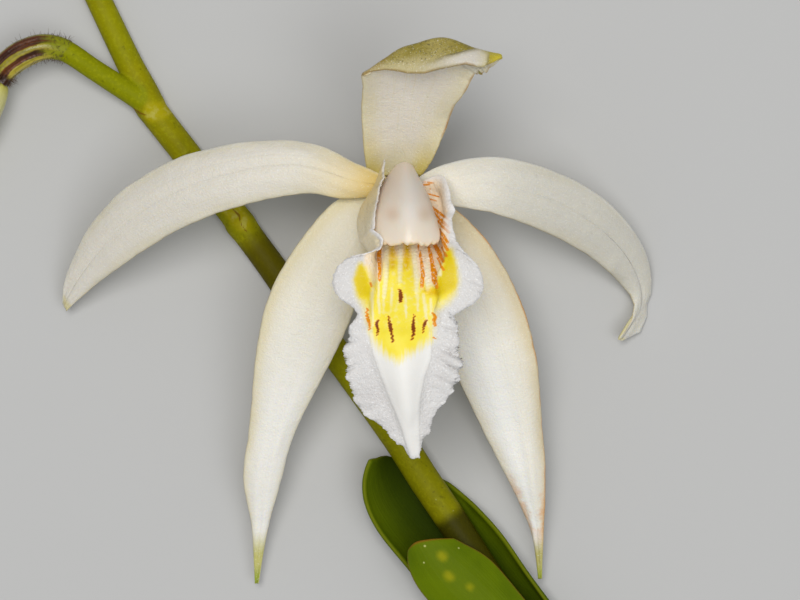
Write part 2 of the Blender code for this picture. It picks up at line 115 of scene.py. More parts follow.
def dome(shares: Array, least_square: float = 0.0) -> Array:
    """A quarter circle's rise from 0 to 1, whose square is never below the least."""
    return np.sqrt(np.clip(1 - (1 - np.clip(shares, 0, 1)) ** 2, least_square, 1))


def wobble(values: Array, seed: int, pitch: float, parts: int = 5) -> Array:
    """An uneven wave.

    Args:
        values: How far along the wave each point is.
        seed: Which wave it is.
        pitch: How far apart its humps are, about.
        parts: How many plain waves make it.

    Returns:
        The wave's height at each point, seldom beyond -1 and 1.
    """
    dice = np.random.default_rng(seed)
    total = np.zeros_like(values, dtype=float)
    for _ in range(parts):
        stretch = dice.uniform(0.6, 1.9)
        total += np.sin(2 * np.pi * values / (pitch * stretch) + dice.uniform(0, 2 * np.pi))
    return total / parts**0.5 / 1.2


def unit(vectors: Array, least: float = 0.0) -> Array:
    """The vectors scaled to a length of 1, taking none of them as shorter than the least."""
    return vectors / np.maximum(np.linalg.norm(vectors, axis=-1, keepdims=True), least)


@dataclass(frozen=True)
class FrontView:
    """Looks straight down on the bloom. Marks on it are placed in this view, on the view's plane."""

    eye: Point = (7.8, 1.2, 311.0)
    plane: float = 11.0

    def plan(self, points: Array) -> Array:
        """Where points appear in the view: right of and above its middle, scaled as on the plane."""
        reach = (self.eye[2] - self.plane) / (self.eye[2] - points[..., 2])
        return (points[..., :2] - np.array(self.eye[:2])) * reach[..., None]


FRONT = FrontView()


def segment_distances(places: Array, path: Array) -> tuple[Array, Array]:
    """How far each place is from a path, and how far along the path its nearest point is.

    Args:
        places: Places in the plane, with the last axis of length 2.
        path: The path's corners, one row each.

    Returns:
        The distances, and the path's corner number at the nearest point, with its fraction.
    """
    nearest = np.full(places.shape[:-1], np.inf)
    where = np.zeros(places.shape[:-1])
    for index, (start, end) in enumerate(zip(path[:-1], path[1:])):
        run = end - start
        share = np.clip(((places - start) @ run) / max(run @ run, 1e-12), 0, 1)
        distance = np.linalg.norm(places - (start + share[..., None] * run), axis=-1)
        closer = distance < nearest
        nearest = np.where(closer, distance, nearest)
        where = np.where(closer, index + share, where)
    return nearest, where


@dataclass(frozen=True)
class Stroke:
    """A mark along a path in the front view. Each corner has its place and the mark's half width there."""

    corners: Path
    zigzag: float = 0.0
    seed: int = 0

    def torn(self) -> Array:
        """The path drawn in zigzags, with an uneven width.

        Returns:
            One row for each corner, as in corners.
        """
        dice = np.random.default_rng(self.seed)
        corners = through(np.array(self.corners), np.linspace(0, 1, 4 * len(self.corners) + 1))
        sides = np.where(np.arange(len(corners)) % 2, 1, -1)
        corners[:, 0] += self.zigzag * dice.uniform(0.5, 1.0, len(corners)) * sides
        corners[:, 2] *= dice.uniform(0.7, 1.2, len(corners))
        return corners

    def inside(self, places: Array) -> Array:
        """How deep inside the mark places are.

        Args:
            places: Places in the front view, with the last axis of length 2.

        Returns:
            The depths, which are below 0 outside the mark.
        """
        corners = self.torn() if self.zigzag else np.array(self.corners)
        distance, where = segment_distances(places, corners[:, :2])
        return np.interp(where, np.arange(len(corners)), corners[:, 2]) - distance


@dataclass(frozen=True)
class Patch:
    """An area in the front view, given by its outline."""

    outline: tuple[Place, ...]

    def inside(self, places: Array) -> Array:
        """How deep inside the area places are.

        Args:
            places: Places in the front view, with the last axis of length 2.

        Returns:
            The depths, which are below 0 outside the area.
        """
        corners = np.array(self.outline)
        distance, _ = segment_distances(places, np.vstack([corners, corners[:1]]))
        x, y = places[..., 0], places[..., 1]
        odd = np.zeros(x.shape, dtype=bool)
        for (x0, y0), (x1, y1) in zip(corners, np.roll(corners, -1, axis=0)):
            if y0 != y1:
                odd ^= ((y0 > y) != (y1 > y)) & (x < x0 + (y - y0) * (x1 - x0) / (y1 - y0))
        return np.where(odd, distance, -distance)


def strokes(*paths: Path) -> tuple[Stroke, ...]:
    """Plain marks along several paths."""
    return tuple(Stroke(path) for path in paths)


def deepest(marks: Sequence[Stroke | Patch], places: Array) -> Array:
    """How deep inside the nearest of several marks each place is, below 0 outside all of them."""
    return np.max([mark.inside(places) for mark in marks], axis=0)


@dataclass(frozen=True)
class Outline:
    """Where one margin of a sheet appears in the front view: how far along the sheet, right, and up.

    Its teeth have their full depth only from middle_end on. Along the middle, and early on, they have a
    share of it.
    """

    stations: Path
    softness: float = 1.7
    fade: float = 0.04
    teeth: float = 0.0
    tooth_pitch: float = 0.012
    tooth_softness: int = 9
    early: float = 0.3
    early_end: Place = (0.28, 0.25)
    middle: float = 0.3
    middle_end: Place = (0.52, 0.64)
    seed: int = 1

    def bites(self, along: Array) -> Array:
        """How deep the teeth are cut at each place along the margin.

        Args:
            along: The places, from 0 at the blade's base to 1 at its tip.

        Returns:
            The depths in millimetres.
        """
        share = self.middle + (self.early - self.middle) * ramp(along, *self.early_end)
        share += (1 - self.middle) * ramp(along, *self.middle_end)
        return self.teeth * share * np.abs(wobble(along, self.seed, self.tooth_pitch, 4))

    def pull(self, sheet: "Sheet", last: bool) -> None:
        """Moves a margin onto the outline, and the blade beside it less and less.

        Args:
            sheet: The sheet, whose grid is changed.
            last: Whether it is the margin that the sheet's last column lies on.
        """
        alongs, rights, ups = np.array(self.stations).T
        row = -1 if last else 0
        along, margin = sheet.along[row], sheet.grid[row]
        target = np.stack([np.interp(along, alongs, rights), np.interp(along, alongs, ups)], axis=-1)
        weight = ramp(along, alongs[0] - self.fade, alongs[0])
        if alongs[-1] < 1:
            weight = weight * ramp(along, alongs[-1] + self.fade, alongs[-1])
        told = (along >= alongs[0]) & (along <= alongs[-1])
        shift = (target - FRONT.plan(margin))[told]
        shift = np.stack([np.interp(along, along[told], shift[:, axis]) for axis in (0, 1)], axis=-1)
        shift *= weight[:, None]
        outer = 2 * sheet.across - 1 if last else 1 - 2 * sheet.across
        near = np.clip(outer, 0, 1)[..., None]
        inward = unit(FRONT.plan(sheet.grid[sheet.columns // 2]) - target, 0.1)
        cut = inward * (self.bites(along) * weight)[:, None]
        scale = (FRONT.eye[2] - sheet.grid[..., 2]) / (FRONT.eye[2] - FRONT.plane)
        moved = shift * near**self.softness + cut * near**self.tooth_softness
        sheet.grid[..., :2] += moved * scale[..., None]


@dataclass
class Body:
    """A mesh in the making: its points, its faces, and a named number at each point."""

    points: Array
    faces: Array
    values: dict[str, Array] = field(default_factory=dict)

    def above_surface(self) -> "Body":
        """Lifts what would be under the surface onto it, and gives the body."""
        self.points[:, 2] = np.maximum(self.points[:, 2], 0.0)
        return self

    def build(self, name: str, material: Material) -> Object:
        """Makes the object and puts it in the scene, shaded smoothly.

        Args:
            name: Its name.
            material: What covers it.

        Returns:
            The object.
        """
        mesh = bpy.data.meshes.new(name)
        mesh.from_pydata((self.points * MM).tolist(), [], self.faces.tolist())
        mesh.validate()
        for label, numbers in self.values.items():
            layer = mesh.attributes.new(label, "FLOAT", "POINT")
            layer.data.foreach_set("value", numbers.astype(np.float32))
        mesh.shade_smooth()
        mesh.materials.append(material)
        made = bpy.data.objects.new(name, mesh)
        bpy.context.scene.collection.objects.link(made)
        return made


def joined(bodies: Sequence[Body]) -> Body:
    """Several bodies as one.

    Args:
        bodies: The bodies, whose faces have the same number of corners and whose values the same names.

    Returns:
        One body with the points, faces and values of all of them.
    """
    starts = np.cumsum([0] + [len(body.points) for body in bodies[:-1]])
    return Body(
        np.vstack([body.points for body in bodies]),
        np.vstack([body.faces + start for body, start in zip(bodies, starts)]),
        {label: np.concatenate([body.values[label] for body in bodies]) for label in bodies[0].values},
    )


@dataclass
class Sheet:
    """A blade on a grid of points, across it first and along it second."""

    rails: Sequence[Rail]
    rows: int
    columns: int
    shift: Callable[[Array, Array], Array] | None = None

    def __post_init__(self) -> None:
        """Draws the grid through the rails."""
        rails = np.array(self.rails, dtype=float)
        self.along, self.across = np.meshgrid(
            np.linspace(0, 1, self.rows + 1), np.linspace(0, 1, self.columns + 1)
        )
        sections = through(rails.transpose(1, 0, 2), self.along[0])
        shares = self.across if self.shift is None else self.shift(self.across, self.along)
        self.grid = np.empty(self.across.shape + (3,))
        for row in range(self.rows + 1):
            self.grid[:, row] = through(sections[row], shares[:, row])

    def crossed(self) -> Array:
        """The cross product of the steps across and along the blade, at each point."""
        return np.cross(np.gradient(self.grid, axis=0), np.gradient(self.grid, axis=1))

    def normals(self) -> Array:
        """The direction out of the blade's front at each point, of length 1."""
        out = unit(self.crossed(), 1e-9)
        return out if out[..., 2].mean() > 0 else -out

    def raise_by(self, heights: Array) -> None:
        """Moves each point out of the front by its height."""
        self.grid = self.grid + self.normals() * heights[..., None]

    def margin(self) -> Array:
        """How far each point is from the blade's nearest margin.

        Returns:
            The distances, measured on the blade. The base isn't a margin.
        """
        steps = np.linalg.norm(np.diff(self.grid, axis=0), axis=-1)
        run = np.vstack([np.zeros((1, self.rows + 1)), np.cumsum(steps, axis=0)])
        side = np.minimum(run, run[-1] - run)
        lengths = np.linalg.norm(np.diff(self.grid, axis=1), axis=-1)
        reach = np.hstack([np.zeros((self.columns + 1, 1)), np.cumsum(lengths, axis=1)])
        return np.minimum(side, reach[:, -1:] - reach)

    def closed(self, thickness: Array | float, rounding: float = 0.3, **values: Array) -> Body:
        """The blade with its thickness, thinner at its margin.

        Args:
            thickness: The blade's full thickness, or its thickness at each point.
            rounding: How far from the margin it reaches its full thickness.
            values: More numbers at the points, named as the material reads them.

        Returns:
            A closed body whose points know where they are: across, along, edge and front.
        """
        edge = self.margin()
        half = 0.5 * (thickness * dome(edge / rounding, 0.03))[..., None] * self.normals()
        points = np.concatenate([(self.grid + half).reshape(-1, 3), (self.grid - half).reshape(-1, 3)])
        numbers = np.arange(edge.size).reshape(edge.shape)
        front = np.stack([numbers[:-1, :-1], numbers[1:, :-1], numbers[1:, 1:], numbers[:-1, 1:]], axis=-1)
        front = front.reshape(-1, 4)
        rim = np.concatenate([numbers[:, 0], numbers[-1, 1:], numbers[-2::-1, -1], numbers[0, -2:0:-1]])
        after = np.roll(rim, -1)
        wall = np.stack([rim, rim + edge.size, after + edge.size, after], axis=-1)
        if self.crossed()[..., 2].mean() < 0:
            front, wall = front[:, ::-1], wall[:, ::-1]
        told = {"across": self.across, "along": self.along, "edge": edge, **values}
        doubled = {label: np.tile(number.reshape(-1), 2) for label, number in told.items()}
        doubled["front"] = np.repeat([1.0, 0.0], edge.size)
        return Body(points, np.vstack([front, front[:, ::-1] + edge.size, wall]), doubled)


@dataclass
class Tube:
    """A stalk along a curve. Each station has its place and the stalk's radius there."""

    stations: Sequence[Station]
    sides: int = 24
    step: float = 0.35
    profile: Callable[[Array, Array], Array] | None = None
    rounded: bool = False
    thinnest: float = 0.02

    @staticmethod
    def outwards(middle: Array, turns: Array) -> Array:
        """The directions out of a tube, carried along its curve without a twist.

        Args:
            middle: The middle of each ring.
            turns: How far round the tube each of a ring's points is, in radians.

        Returns:
            A vector of length 1 for each ring and turn.
        """
        ahead = unit(np.gradient(middle, axis=0))
        side = np.cross(ahead[0], UPWARDS)
        out = []
        for direction in ahead:
            side = unit(side - direction * (side @ direction))
            up = np.cross(side, direction)
            out.append(np.cos(turns)[:, None] * side + np.sin(turns)[:, None] * up)
        return np.array(out)

    def body(self) -> Body:
        """The closed tube.

        Returns:
            A body of triangles, whose points know how far along and around the tube they are.
        """
        stations = np.array(self.stations, dtype=float)
        length = np.linalg.norm(np.diff(stations[:, :3], axis=0), axis=-1).sum()
        shares = np.linspace(0, 1, round(length / self.step) + 1)
        line = through(stations, shares)
        middle, radius = line[:, :3], np.maximum(line[:, 3], self.thinnest)
        if self.rounded:
            radius = radius * dome(shares * length / radius[0], 0.01)
            radius = radius * dome((1 - shares) * length / radius[-1], 0.01)
        turns = np.linspace(0, 2 * np.pi, self.sides, endpoint=False)
        reach = np.repeat(radius[:, None], self.sides, axis=1)
        if self.profile:
            reach = reach * self.profile(*np.meshgrid(turns, shares))
        points = middle[:, None] + self.outwards(middle, turns) * reach[..., None]
        numbers = np.arange(reach.size).reshape(reach.shape)
        after = np.roll(numbers, -1, axis=1)
        walls = np.stack([numbers[:-1], after[:-1], after[1:], numbers[1:]], axis=-1).reshape(-1, 4)
        first, last = np.full(self.sides, reach.size), np.full(self.sides, reach.size + 1)
        caps = [
            np.stack([after[0], numbers[0], first], axis=-1),
            np.stack([numbers[-1], after[-1], last], axis=-1),
        ]
        triangles = np.vstack([walls[:, [0, 1, 2]], walls[:, [0, 2, 3]], *caps])
        return Body(
            np.vstack([points.reshape(-1, 3), middle[:1], middle[-1:]]),
            triangles[:, ::-1],
            {
                "along": np.append(np.repeat(shares, self.sides), [0, 1]),
                "around": np.append(np.tile(turns / (2 * np.pi), len(shares)), [0, 0]),
            },
        )


class Wire:
    """A number worked out by shader nodes, which takes part in arithmetic."""

    def __init__(self, shader: "Shader", socket: NodeSocket) -> None:
        """Wraps the output of one of the shader's nodes."""
        self.shader = shader
        self.socket = socket

    def __add__(self, other: "Wire | float") -> "Wire":
        """The sum."""
        return self.shader.math("ADD", self, other)

    __radd__ = __add__

    def __sub__(self, other: "Wire | float") -> "Wire":
        """The difference."""
        return self.shader.math("SUBTRACT", self, other)

    def __rsub__(self, other: float) -> "Wire":
        """The difference, taken from a number."""
        return self.shader.math("SUBTRACT", other, self)

    def __mul__(self, other: "Wire | float") -> "Wire":
        """The product."""
        return self.shader.math("MULTIPLY", self, other)

    __rmul__ = __mul__


class Shader:
    """The node tree of one material, around its principled surface. Its patterns are scaled per metre."""

    def __init__(self, name: str) -> None:
        """Starts a material.

        Args:
            name: The material's name.
        """
        self.material = bpy.data.materials.new(name)
        self.material.use_nodes = True
        self.tree = self.material.node_tree
        self.surface = self.tree.nodes["Principled BSDF"]

    def feed(self, socket: NodeSocket, value: Any) -> None:
        """Gives a socket its value.

        Args:
            socket: The input of a node.
            value: A wire, a colour, a vector or a number.
        """
        if isinstance(value, Wire):
            self.tree.links.new(value.socket, socket)
        elif isinstance(value, tuple) and socket.type == "RGBA":
            socket.default_value = (*value, 1.0)
        else:
            socket.default_value = value

    def node(self, kind: str, output: Any, settings: dict[str, Any], inputs: dict[Any, Any]) -> Wire:
        """Adds a node.

        Args:
            kind: The node's type.
            output: The name or number of the output that is wanted.
            settings: Its own settings, set before anything is linked to it.
            inputs: What goes into its sockets, by their name or number.

        Returns:
            The output.
        """
        made = self.tree.nodes.new(kind)
        for label, value in settings.items():
            setattr(made, label, value)
        for label, value in inputs.items():
            self.feed(made.inputs[label], value)
        return Wire(self, made.outputs[output])

    def math(self, operation: str, *values: Wire | float) -> Wire:
        """A Math node on one or more values."""
        return self.node("ShaderNodeMath", 0, {"operation": operation}, dict(enumerate(values)))

    def size(self, value: Wire) -> Wire:
        """The value without its sign."""
        return self.math("ABSOLUTE", value)

    def value(self, name: str) -> Wire:
        """The number that the mesh holds under this name, 0 if it holds none."""
        return self.node("ShaderNodeAttribute", "Fac", {"attribute_name": name}, {})

    def place(self) -> Wire:
        """Where the shaded point is on the object, in metres."""
        return self.node("ShaderNodeTexCoord", "Object", {}, {})

    def vector(self, x: Wire | float, y: Wire | float, z: Wire | float = 0.0) -> Wire:
        """A vector of three values."""
        return self.node("ShaderNodeCombineXYZ", 0, {}, {"X": x, "Y": y, "Z": z})

    def stretch(self, vector: Wire, by: Point) -> Wire:
        """A vector, scaled along each axis."""
        return self.node("ShaderNodeVectorMath", 0, {"operation": "MULTIPLY"}, {0: vector, 1: by})

    def noise(self, vector: Wire, scale: float, detail: float = 2.0, roughness: float = 0.5) -> Wire:
        """A cloudy pattern from 0 to 1."""
        inputs = {"Vector": vector, "Scale": scale, "Detail": detail, "Roughness": roughness}
        return self.node("ShaderNodeTexNoise", "Fac", {}, inputs)

    def cells(self, vector: Wire, scale: float) -> Wire:
        """How far each point is from the middle of its cell."""
        return self.node("ShaderNodeTexVoronoi", "Distance", {}, {"Vector": vector, "Scale": scale})

    def rise(self, value: Wire, low: float, high: float) -> Wire:
        """0 up to low, 1 from high, and a smooth rise between. High may be the lower one."""
        inputs = {"Value": value, "From Min": low, "From Max": high}
        return self.node("ShaderNodeMapRange", 0, {"interpolation_type": "SMOOTHSTEP"}, inputs)

    def mix(self, share: Wire | float, first: Wire | Colour, second: Wire | Colour) -> Wire:
        """A colour between two others."""
        return self.node("ShaderNodeMix", 2, {"data_type": "RGBA"}, {0: share, 6: first, 7: second})

    def bump(self, height: Wire, distance: float, under: Wire | None = None) -> Wire:
        """A surface direction for relief.

        Args:
            height: The relief, from 0 to 1.
            distance: Its depth in metres.
            under: Another relief's surface direction, which this one lies on.

        Returns:
            The direction.
        """
        inputs = {"Height": height, "Distance": distance, "Strength": 1.0}
        if under is not None:
            inputs["Normal"] = under
        return self.node("ShaderNodeBump", 0, {}, inputs)

    def finish(self, **inputs: Any) -> Material:
        """Feeds the principled surface.

        Args:
            inputs: What goes into its sockets, whose names are written small and with underscores.

        Returns:
            The finished material.
        """
        for label, value in inputs.items():
            socket = label.replace("_", " ").title().replace("Ior", "IOR")
            self.feed(self.surface.inputs[socket], value)
        return self.material


def flesh(weight: float, reach: Point, scale: float) -> dict[str, Any]:
    """What the sockets for light in the flesh take: its share, its reach by colour, and their scale."""
    return {"subsurface_weight": weight, "subsurface_radius": reach, "subsurface_scale": scale}


@dataclass(frozen=True)
class TepalFinish:
    """The waxy, finely cellular skin of a petal or a sepal.

    A reach or a start is a place from the blade's base, 0, to its tip, 1. Sides and leans are strengths. Lit
    is the strength of a painted highlight along the margin on one side.
    """

    name: str
    pale: Colour = srgb(232, 228, 220)
    warm: Colour = srgb(224, 214, 180)
    warm_reach: float = 0.3
    warm_edge: float = 0.55
    # The lean lays cream on one side: partly the blade's own cream, partly painted shade on that side.
    cream_and_shade_lean: float = 0.0
    base: Colour = srgb(216, 190, 118)
    base_reach: float = 0.12
    base_side: float = 0.0
    tip: Colour = srgb(206, 196, 150)
    tip_start: float = 0.95
    point: Colour = srgb(206, 196, 150)
    rim: Colour = srgb(202, 176, 112)
    rim_width: float = 0.11
    stain: Colour = srgb(196, 132, 58)
    stain_start: float = 2.0
    stain_side: float = 0.0
    stain_low: float = 0.0
    lit: float = 0.0
    painted_highlight: Colour = srgb(240, 242, 244)
    painted_glint: Colour = srgb(252, 251, 247)
    streaks: float = 0.16
    back: Colour = srgb(206, 198, 150)

    def stained(self, s: Shader, colour: Wire) -> Wire:
        """Blotches near the tip, and a brown line inside the last margin.

        Args:
            s: The material's shader.
            colour: The colour without stains.

        Returns:
            The colour with them.
        """
        across, along, edge, spot = s.value("across"), s.value("along"), s.value("edge"), s.place()
        below_tip = s.rise(along, 0.93, 0.84)
        if self.stain_start < 1:
            blotch = s.rise(s.noise(spot, 420, 4, 0.7) - s.rise(edge, 0.0, 1.3) * 0.34, 0.26, 0.5)
            blotch = blotch * s.rise(along, self.stain_start, self.stain_start + 0.1)
            colour = s.mix(blotch * below_tip * 0.5, colour, self.stain)
        if self.stain_side:
            line = s.rise(edge, 0.26, 0.06) * s.rise(across, 0.5, 0.6)
            line = line * s.rise(s.noise(spot, 380, 3, 0.6), 0.36, 0.6)
            line = line * s.rise(along, self.stain_low, self.stain_low + 0.06) * below_tip
            colour = s.mix(line * self.stain_side, colour, self.stain)
        return colour

    def skin(self, s: Shader) -> Wire:
        """The inner side, warmer at its base, along its margins and at its tip, with a painted highlight
        along one margin.

        Args:
            s: The material's shader.

        Returns:
            The colour.
        """
        across, along, edge = s.value("across"), s.value("along"), s.value("edge")
        cloud = s.noise(s.place(), 170, 3)
        drift = cloud - 0.5
        outer = s.size(across * 2 - 1)
        cream_and_shade = s.rise(outer + drift * 0.6, self.warm_edge, 1.1) * 0.7
        cream_and_shade = cream_and_shade + s.rise(along + drift * 0.3, self.warm_reach, 0.0) * 0.7
        # Cream on one side: partly its own, partly painted shade.
        if self.cream_and_shade_lean:
            leaning = s.rise(across, 0.4, 1.0 if self.cream_and_shade_lean > 0 else 0.0)
            cream_and_shade = cream_and_shade + leaning * abs(self.cream_and_shade_lean)
        colour = s.mix(cream_and_shade, self.pale, self.warm)
        veins = s.noise(s.vector(across * 64, along * 5, cloud * 0.3), 1.0, 2)
        colour = s.mix(s.rise(veins, 0.5, 0.72) * self.streaks, colour, self.warm)
        base = s.rise(along + drift * 0.1, self.base_reach, 0.0)
        colour = s.mix(base * (1 - s.rise(outer, 0.75, 0.2) * self.base_side), colour, self.base)
        tip = s.rise(along + drift * 0.05, self.tip_start, self.tip_start * 0.45 + 0.55)
        colour = s.mix(tip, colour, self.tip)
        colour = s.mix(s.rise(along, 0.955, 0.99), colour, self.point)
        colour = self.stained(s, colour)
        # Painted highlight: near white along the margin on the lit side, where the rim colour is left off.
        side = s.rise(across, 0.6, 0.4) if self.lit else 0.0
        rim = s.rise(edge, self.rim_width, 0.0) * s.rise(along, 0.95, 0.88)
        colour = s.mix(rim * (1 - side) * 0.55, colour, self.rim)
        return s.mix(s.rise(edge, 0.45, 0.0) * side * self.lit, colour, self.painted_highlight)

    def behind(self, s: Shader) -> Wire:
        """The colour of the outer side."""
        veins = s.noise(s.vector(s.value("across") * 30, s.value("along") * 2), 1.0, 1)
        return s.mix(s.rise(veins, 0.4, 0.7) * 0.4, self.back, self.warm)

    def material(self) -> Material:
        """Both sides, under a surface of small cells with painted glints.

        Returns:
            The material of one blade.
        """
        s = Shader(self.name)
        spot = s.place()
        colour = s.mix(s.value("front"), self.behind(s), self.skin(s))
        # Painted glints: fine near-white dots, where the surface is also glossier.
        glint_cells = s.rise(s.noise(spot, 9000, 1), 0.63, 0.74)
        colour = s.mix(glint_cells * 0.36, colour, self.painted_glint)
        relief = s.bump(s.noise(spot, 6500, 2, 0.6), 0.00006)
        relief = s.bump(s.noise(spot, 900, 3, 0.6), 0.00008, relief)
        return s.finish(
            base_color=colour,
            roughness=0.5 - glint_cells * 0.25,
            normal=relief,
            **flesh(0.25, (1.0, 0.8, 0.5), 0.0008),
        )


@dataclass(frozen=True)
class DorsalFinish(TepalFinish):
    """The top sepal's skin: its outer side, which shows where it folds over, is green and speckled."""

    green: Colour = srgb(145, 131, 46)
    light_green: Colour = srgb(165, 151, 80)
    cream: Colour = srgb(208, 197, 154)
    fold: Colour = srgb(150, 120, 62)
    speck: Colour = srgb(84, 78, 32)
    roll: Colour = srgb(206, 200, 188)

    def behind(self, s: Shader) -> Wire:
        """The outer side, creamy at its lower edge and where the frill rolls up, brown in its fold.

        Args:
            s: The material's shader.

        Returns:
            The colour.
        """
        across, along, edge, spot = s.value("across"), s.value("along"), s.value("edge"), s.place()
        cloud = s.noise(spot, 420, 3)
        drift = cloud - 0.5
        colour = s.mix(s.rise(cloud, 0.35, 0.7), self.green, self.light_green)
        low = s.rise(across + drift * 0.16, 0.2, 0.02) * s.rise(along, 0.84, 0.66)
        colour = s.mix(low * 0.7, colour, self.cream)
        specks = s.rise(s.cells(spot, 4200), 0.3, 0.14)
        specks = specks + s.rise(s.noise(spot, 4200, 2, 0.6), 0.52, 0.66) * 0.5
        specks = specks * s.rise(s.noise(spot, 900, 2), 0.28, 0.5)
        specks = specks * s.rise(along, 0.5, 0.58) * s.rise(along, 0.92, 0.84) * s.rise(across, 0.0, 0.14)
        colour = s.mix(specks * 0.62, colour, self.speck)
        corner = s.rise(along + drift * 0.1, 0.58, 0.5) * s.rise(across, 0.5, 0.2)
        colour = s.mix(corner * 0.5, colour, self.fold)
        rolled = s.rise(s.value("roll") + drift * 0.3, -0.15, 0.3) * s.rise(along, 0.64, 0.86)
        colour = s.mix(rolled, colour, self.roll)
        colour = s.mix(s.rise(edge + drift * 0.2, 0.24, 0.04) * 0.7, colour, self.fold)
        return s.mix(s.rise(along + drift * 0.1, 0.87, 1.0), colour, self.tip)


@dataclass(frozen=True)
class LipFinish:
    """The lip's skin: glistening white, with its yellow patch, orange stripes and brown marks."""

    name: str = "lip"
    white: Colour = srgb(220, 218, 216)
    shade: Colour = srgb(208, 205, 203)
    pearl: Colour = srgb(238, 236, 231)
    painted_edge_shade: Colour = srgb(176, 174, 172)
    blush: Colour = srgb(252, 229, 200)
    gold: Colour = srgb(252, 234, 84)
    deep_gold: Colour = srgb(246, 222, 36)
    olive: Colour = srgb(224, 198, 0)
    band: Colour = srgb(228, 188, 0)
    pale: Colour = srgb(246, 240, 206)
    orange: Colour = srgb(232, 146, 0)
    brown: Colour = srgb(128, 58, 2)
    bead: Colour = srgb(250, 244, 226)
    outside: Colour = srgb(236, 222, 190)
    outside_shade: Colour = srgb(232, 206, 146)
    veil: Colour = srgb(238, 234, 231)
    painted_glint: Colour = srgb(252, 252, 252)

    def marked(self, s: Shader, colour: Wire, ragged: Wire) -> Wire:
        """The pale stripes, the orange and brown marks and the beads on the keels.

        Args:
            s: The material's shader.
            colour: The colour without them.
            ragged: A fine unevenness of their edges.

        Returns:
            The colour with them.
        """
        brown = s.value("brown") + ragged * 0.3
        colour = s.mix(s.rise(s.value("pale") + ragged, -0.1, 0.1) * 0.7, colour, self.pale)
        colour = s.mix(s.rise(s.value("orange") + ragged * 0.35, -0.035, 0.035), colour, self.orange)
        colour = s.mix(s.rise(brown, -0.06, 0.0) * 0.7, colour, self.orange)
        colour = s.mix(s.rise(brown, -0.02, 0.03), colour, self.brown)
        beads = s.rise(s.cells(s.place(), 3600), 0.4, 0.16) * s.rise(s.value("keel"), -0.02, 0.07)
        return s.mix(beads * 0.55, colour, self.bead)

    def material(self) -> Material:
        """The lip's material, which reads how deep in each mark a point is.

        Returns:
            The material.
        """
        s = Shader(self.name)
        spot, edge, along = s.place(), s.value("edge"), s.value("along")
        pearl, side, low = s.value("pearl"), s.value("side"), s.value("low")
        cloud = s.noise(spot, 420, 3)
        ragged = (s.noise(spot, 3000, 2, 0.6) - 0.5) * 0.2
        fingers = (s.noise(s.stretch(spot, (1.0, 0.12, 0.12)), 5200, 2) - 0.5) * low * 1.2
        colour = s.mix(s.rise(cloud, 0.35, 0.7) * 0.7, self.white, self.shade)
        colour = s.mix(s.rise(pearl, -0.5, 0.4), colour, self.pearl)
        # Painted shade: a thin grey line along the edges of the raised middle band.
        colour = s.mix(s.rise(s.size(pearl + 0.02), 0.11, 0.02) * 0.3, colour, self.painted_edge_shade)
        # The blush is the lobes' and throat's own pink, laid lighter as painted light to lift the shade by
        # the column.
        colour = s.mix(s.rise(s.value("blush") + ragged, -0.2, 0.25), colour, self.blush)
        flank = s.rise(side + ragged, -0.35, 0.25)
        golden = s.rise(s.value("gold") + fingers + ragged + flank * 0.5, -0.6, 0.5)
        gold = s.mix(s.rise(cloud, 0.3, 0.7), self.gold, self.deep_gold)
        colour = s.mix(golden, colour, s.mix(flank, gold, self.olive))
        colour = s.mix(s.rise(s.value("olive") + ragged, -0.32, 0.3), colour, self.band)
        mottle = s.rise(s.noise(spot, 2600, 3, 0.6), 0.5, 0.68) * s.rise(low, 0.8, 0.3)
        colour = s.mix(mottle * golden * s.rise(side, 0.0, -0.4) * 0.3, colour, self.pale)
        colour = self.marked(s, colour, ragged)
        # Near the side lobes' margins, their own translucent white, laid wide and strong as painted light on
        # the steep inner faces.
        colour = s.mix(s.rise(edge, 1.0, 0.1) * s.rise(along, 0.36, 0.3) * 0.9, colour, self.veil)
        behind = s.mix(s.rise(along, 0.26, 0.1), self.outside, self.outside_shade)
        veil = s.rise(edge + (cloud - 0.5) * 0.5, 0.9, 0.2) * s.rise(along, 0.19, 0.27)
        behind = s.mix(veil, behind, self.veil)
        behind = s.mix(s.rise(edge, 0.32, 0.04) * 0.7, behind, self.veil)
        colour = s.mix(s.value("front"), behind, colour)
        rough = (1 - s.rise(pearl, -0.2, 0.4) * 0.9) * (1 - golden * 0.9)
        # Painted glints: fine near-white dots on the rough parts, where the surface is also glossier.
        glint_cells = s.rise(s.noise(spot, 8000, 1), 0.6, 0.7) * rough
        colour = s.mix(glint_cells * 0.5, colour, self.painted_glint)
        relief = s.bump(s.noise(spot, 5200, 2, 0.6) * rough, 0.0001)
        relief = s.bump(s.noise(spot, 1500, 2) * rough, 0.00008, relief)
        return s.finish(
            base_color=colour,
            roughness=0.46 - glint_cells * 0.26,
            specular_ior_level=0.3,
            normal=relief,
            **flesh(0.2, (1.0, 0.9, 0.8), 0.0005),
        )


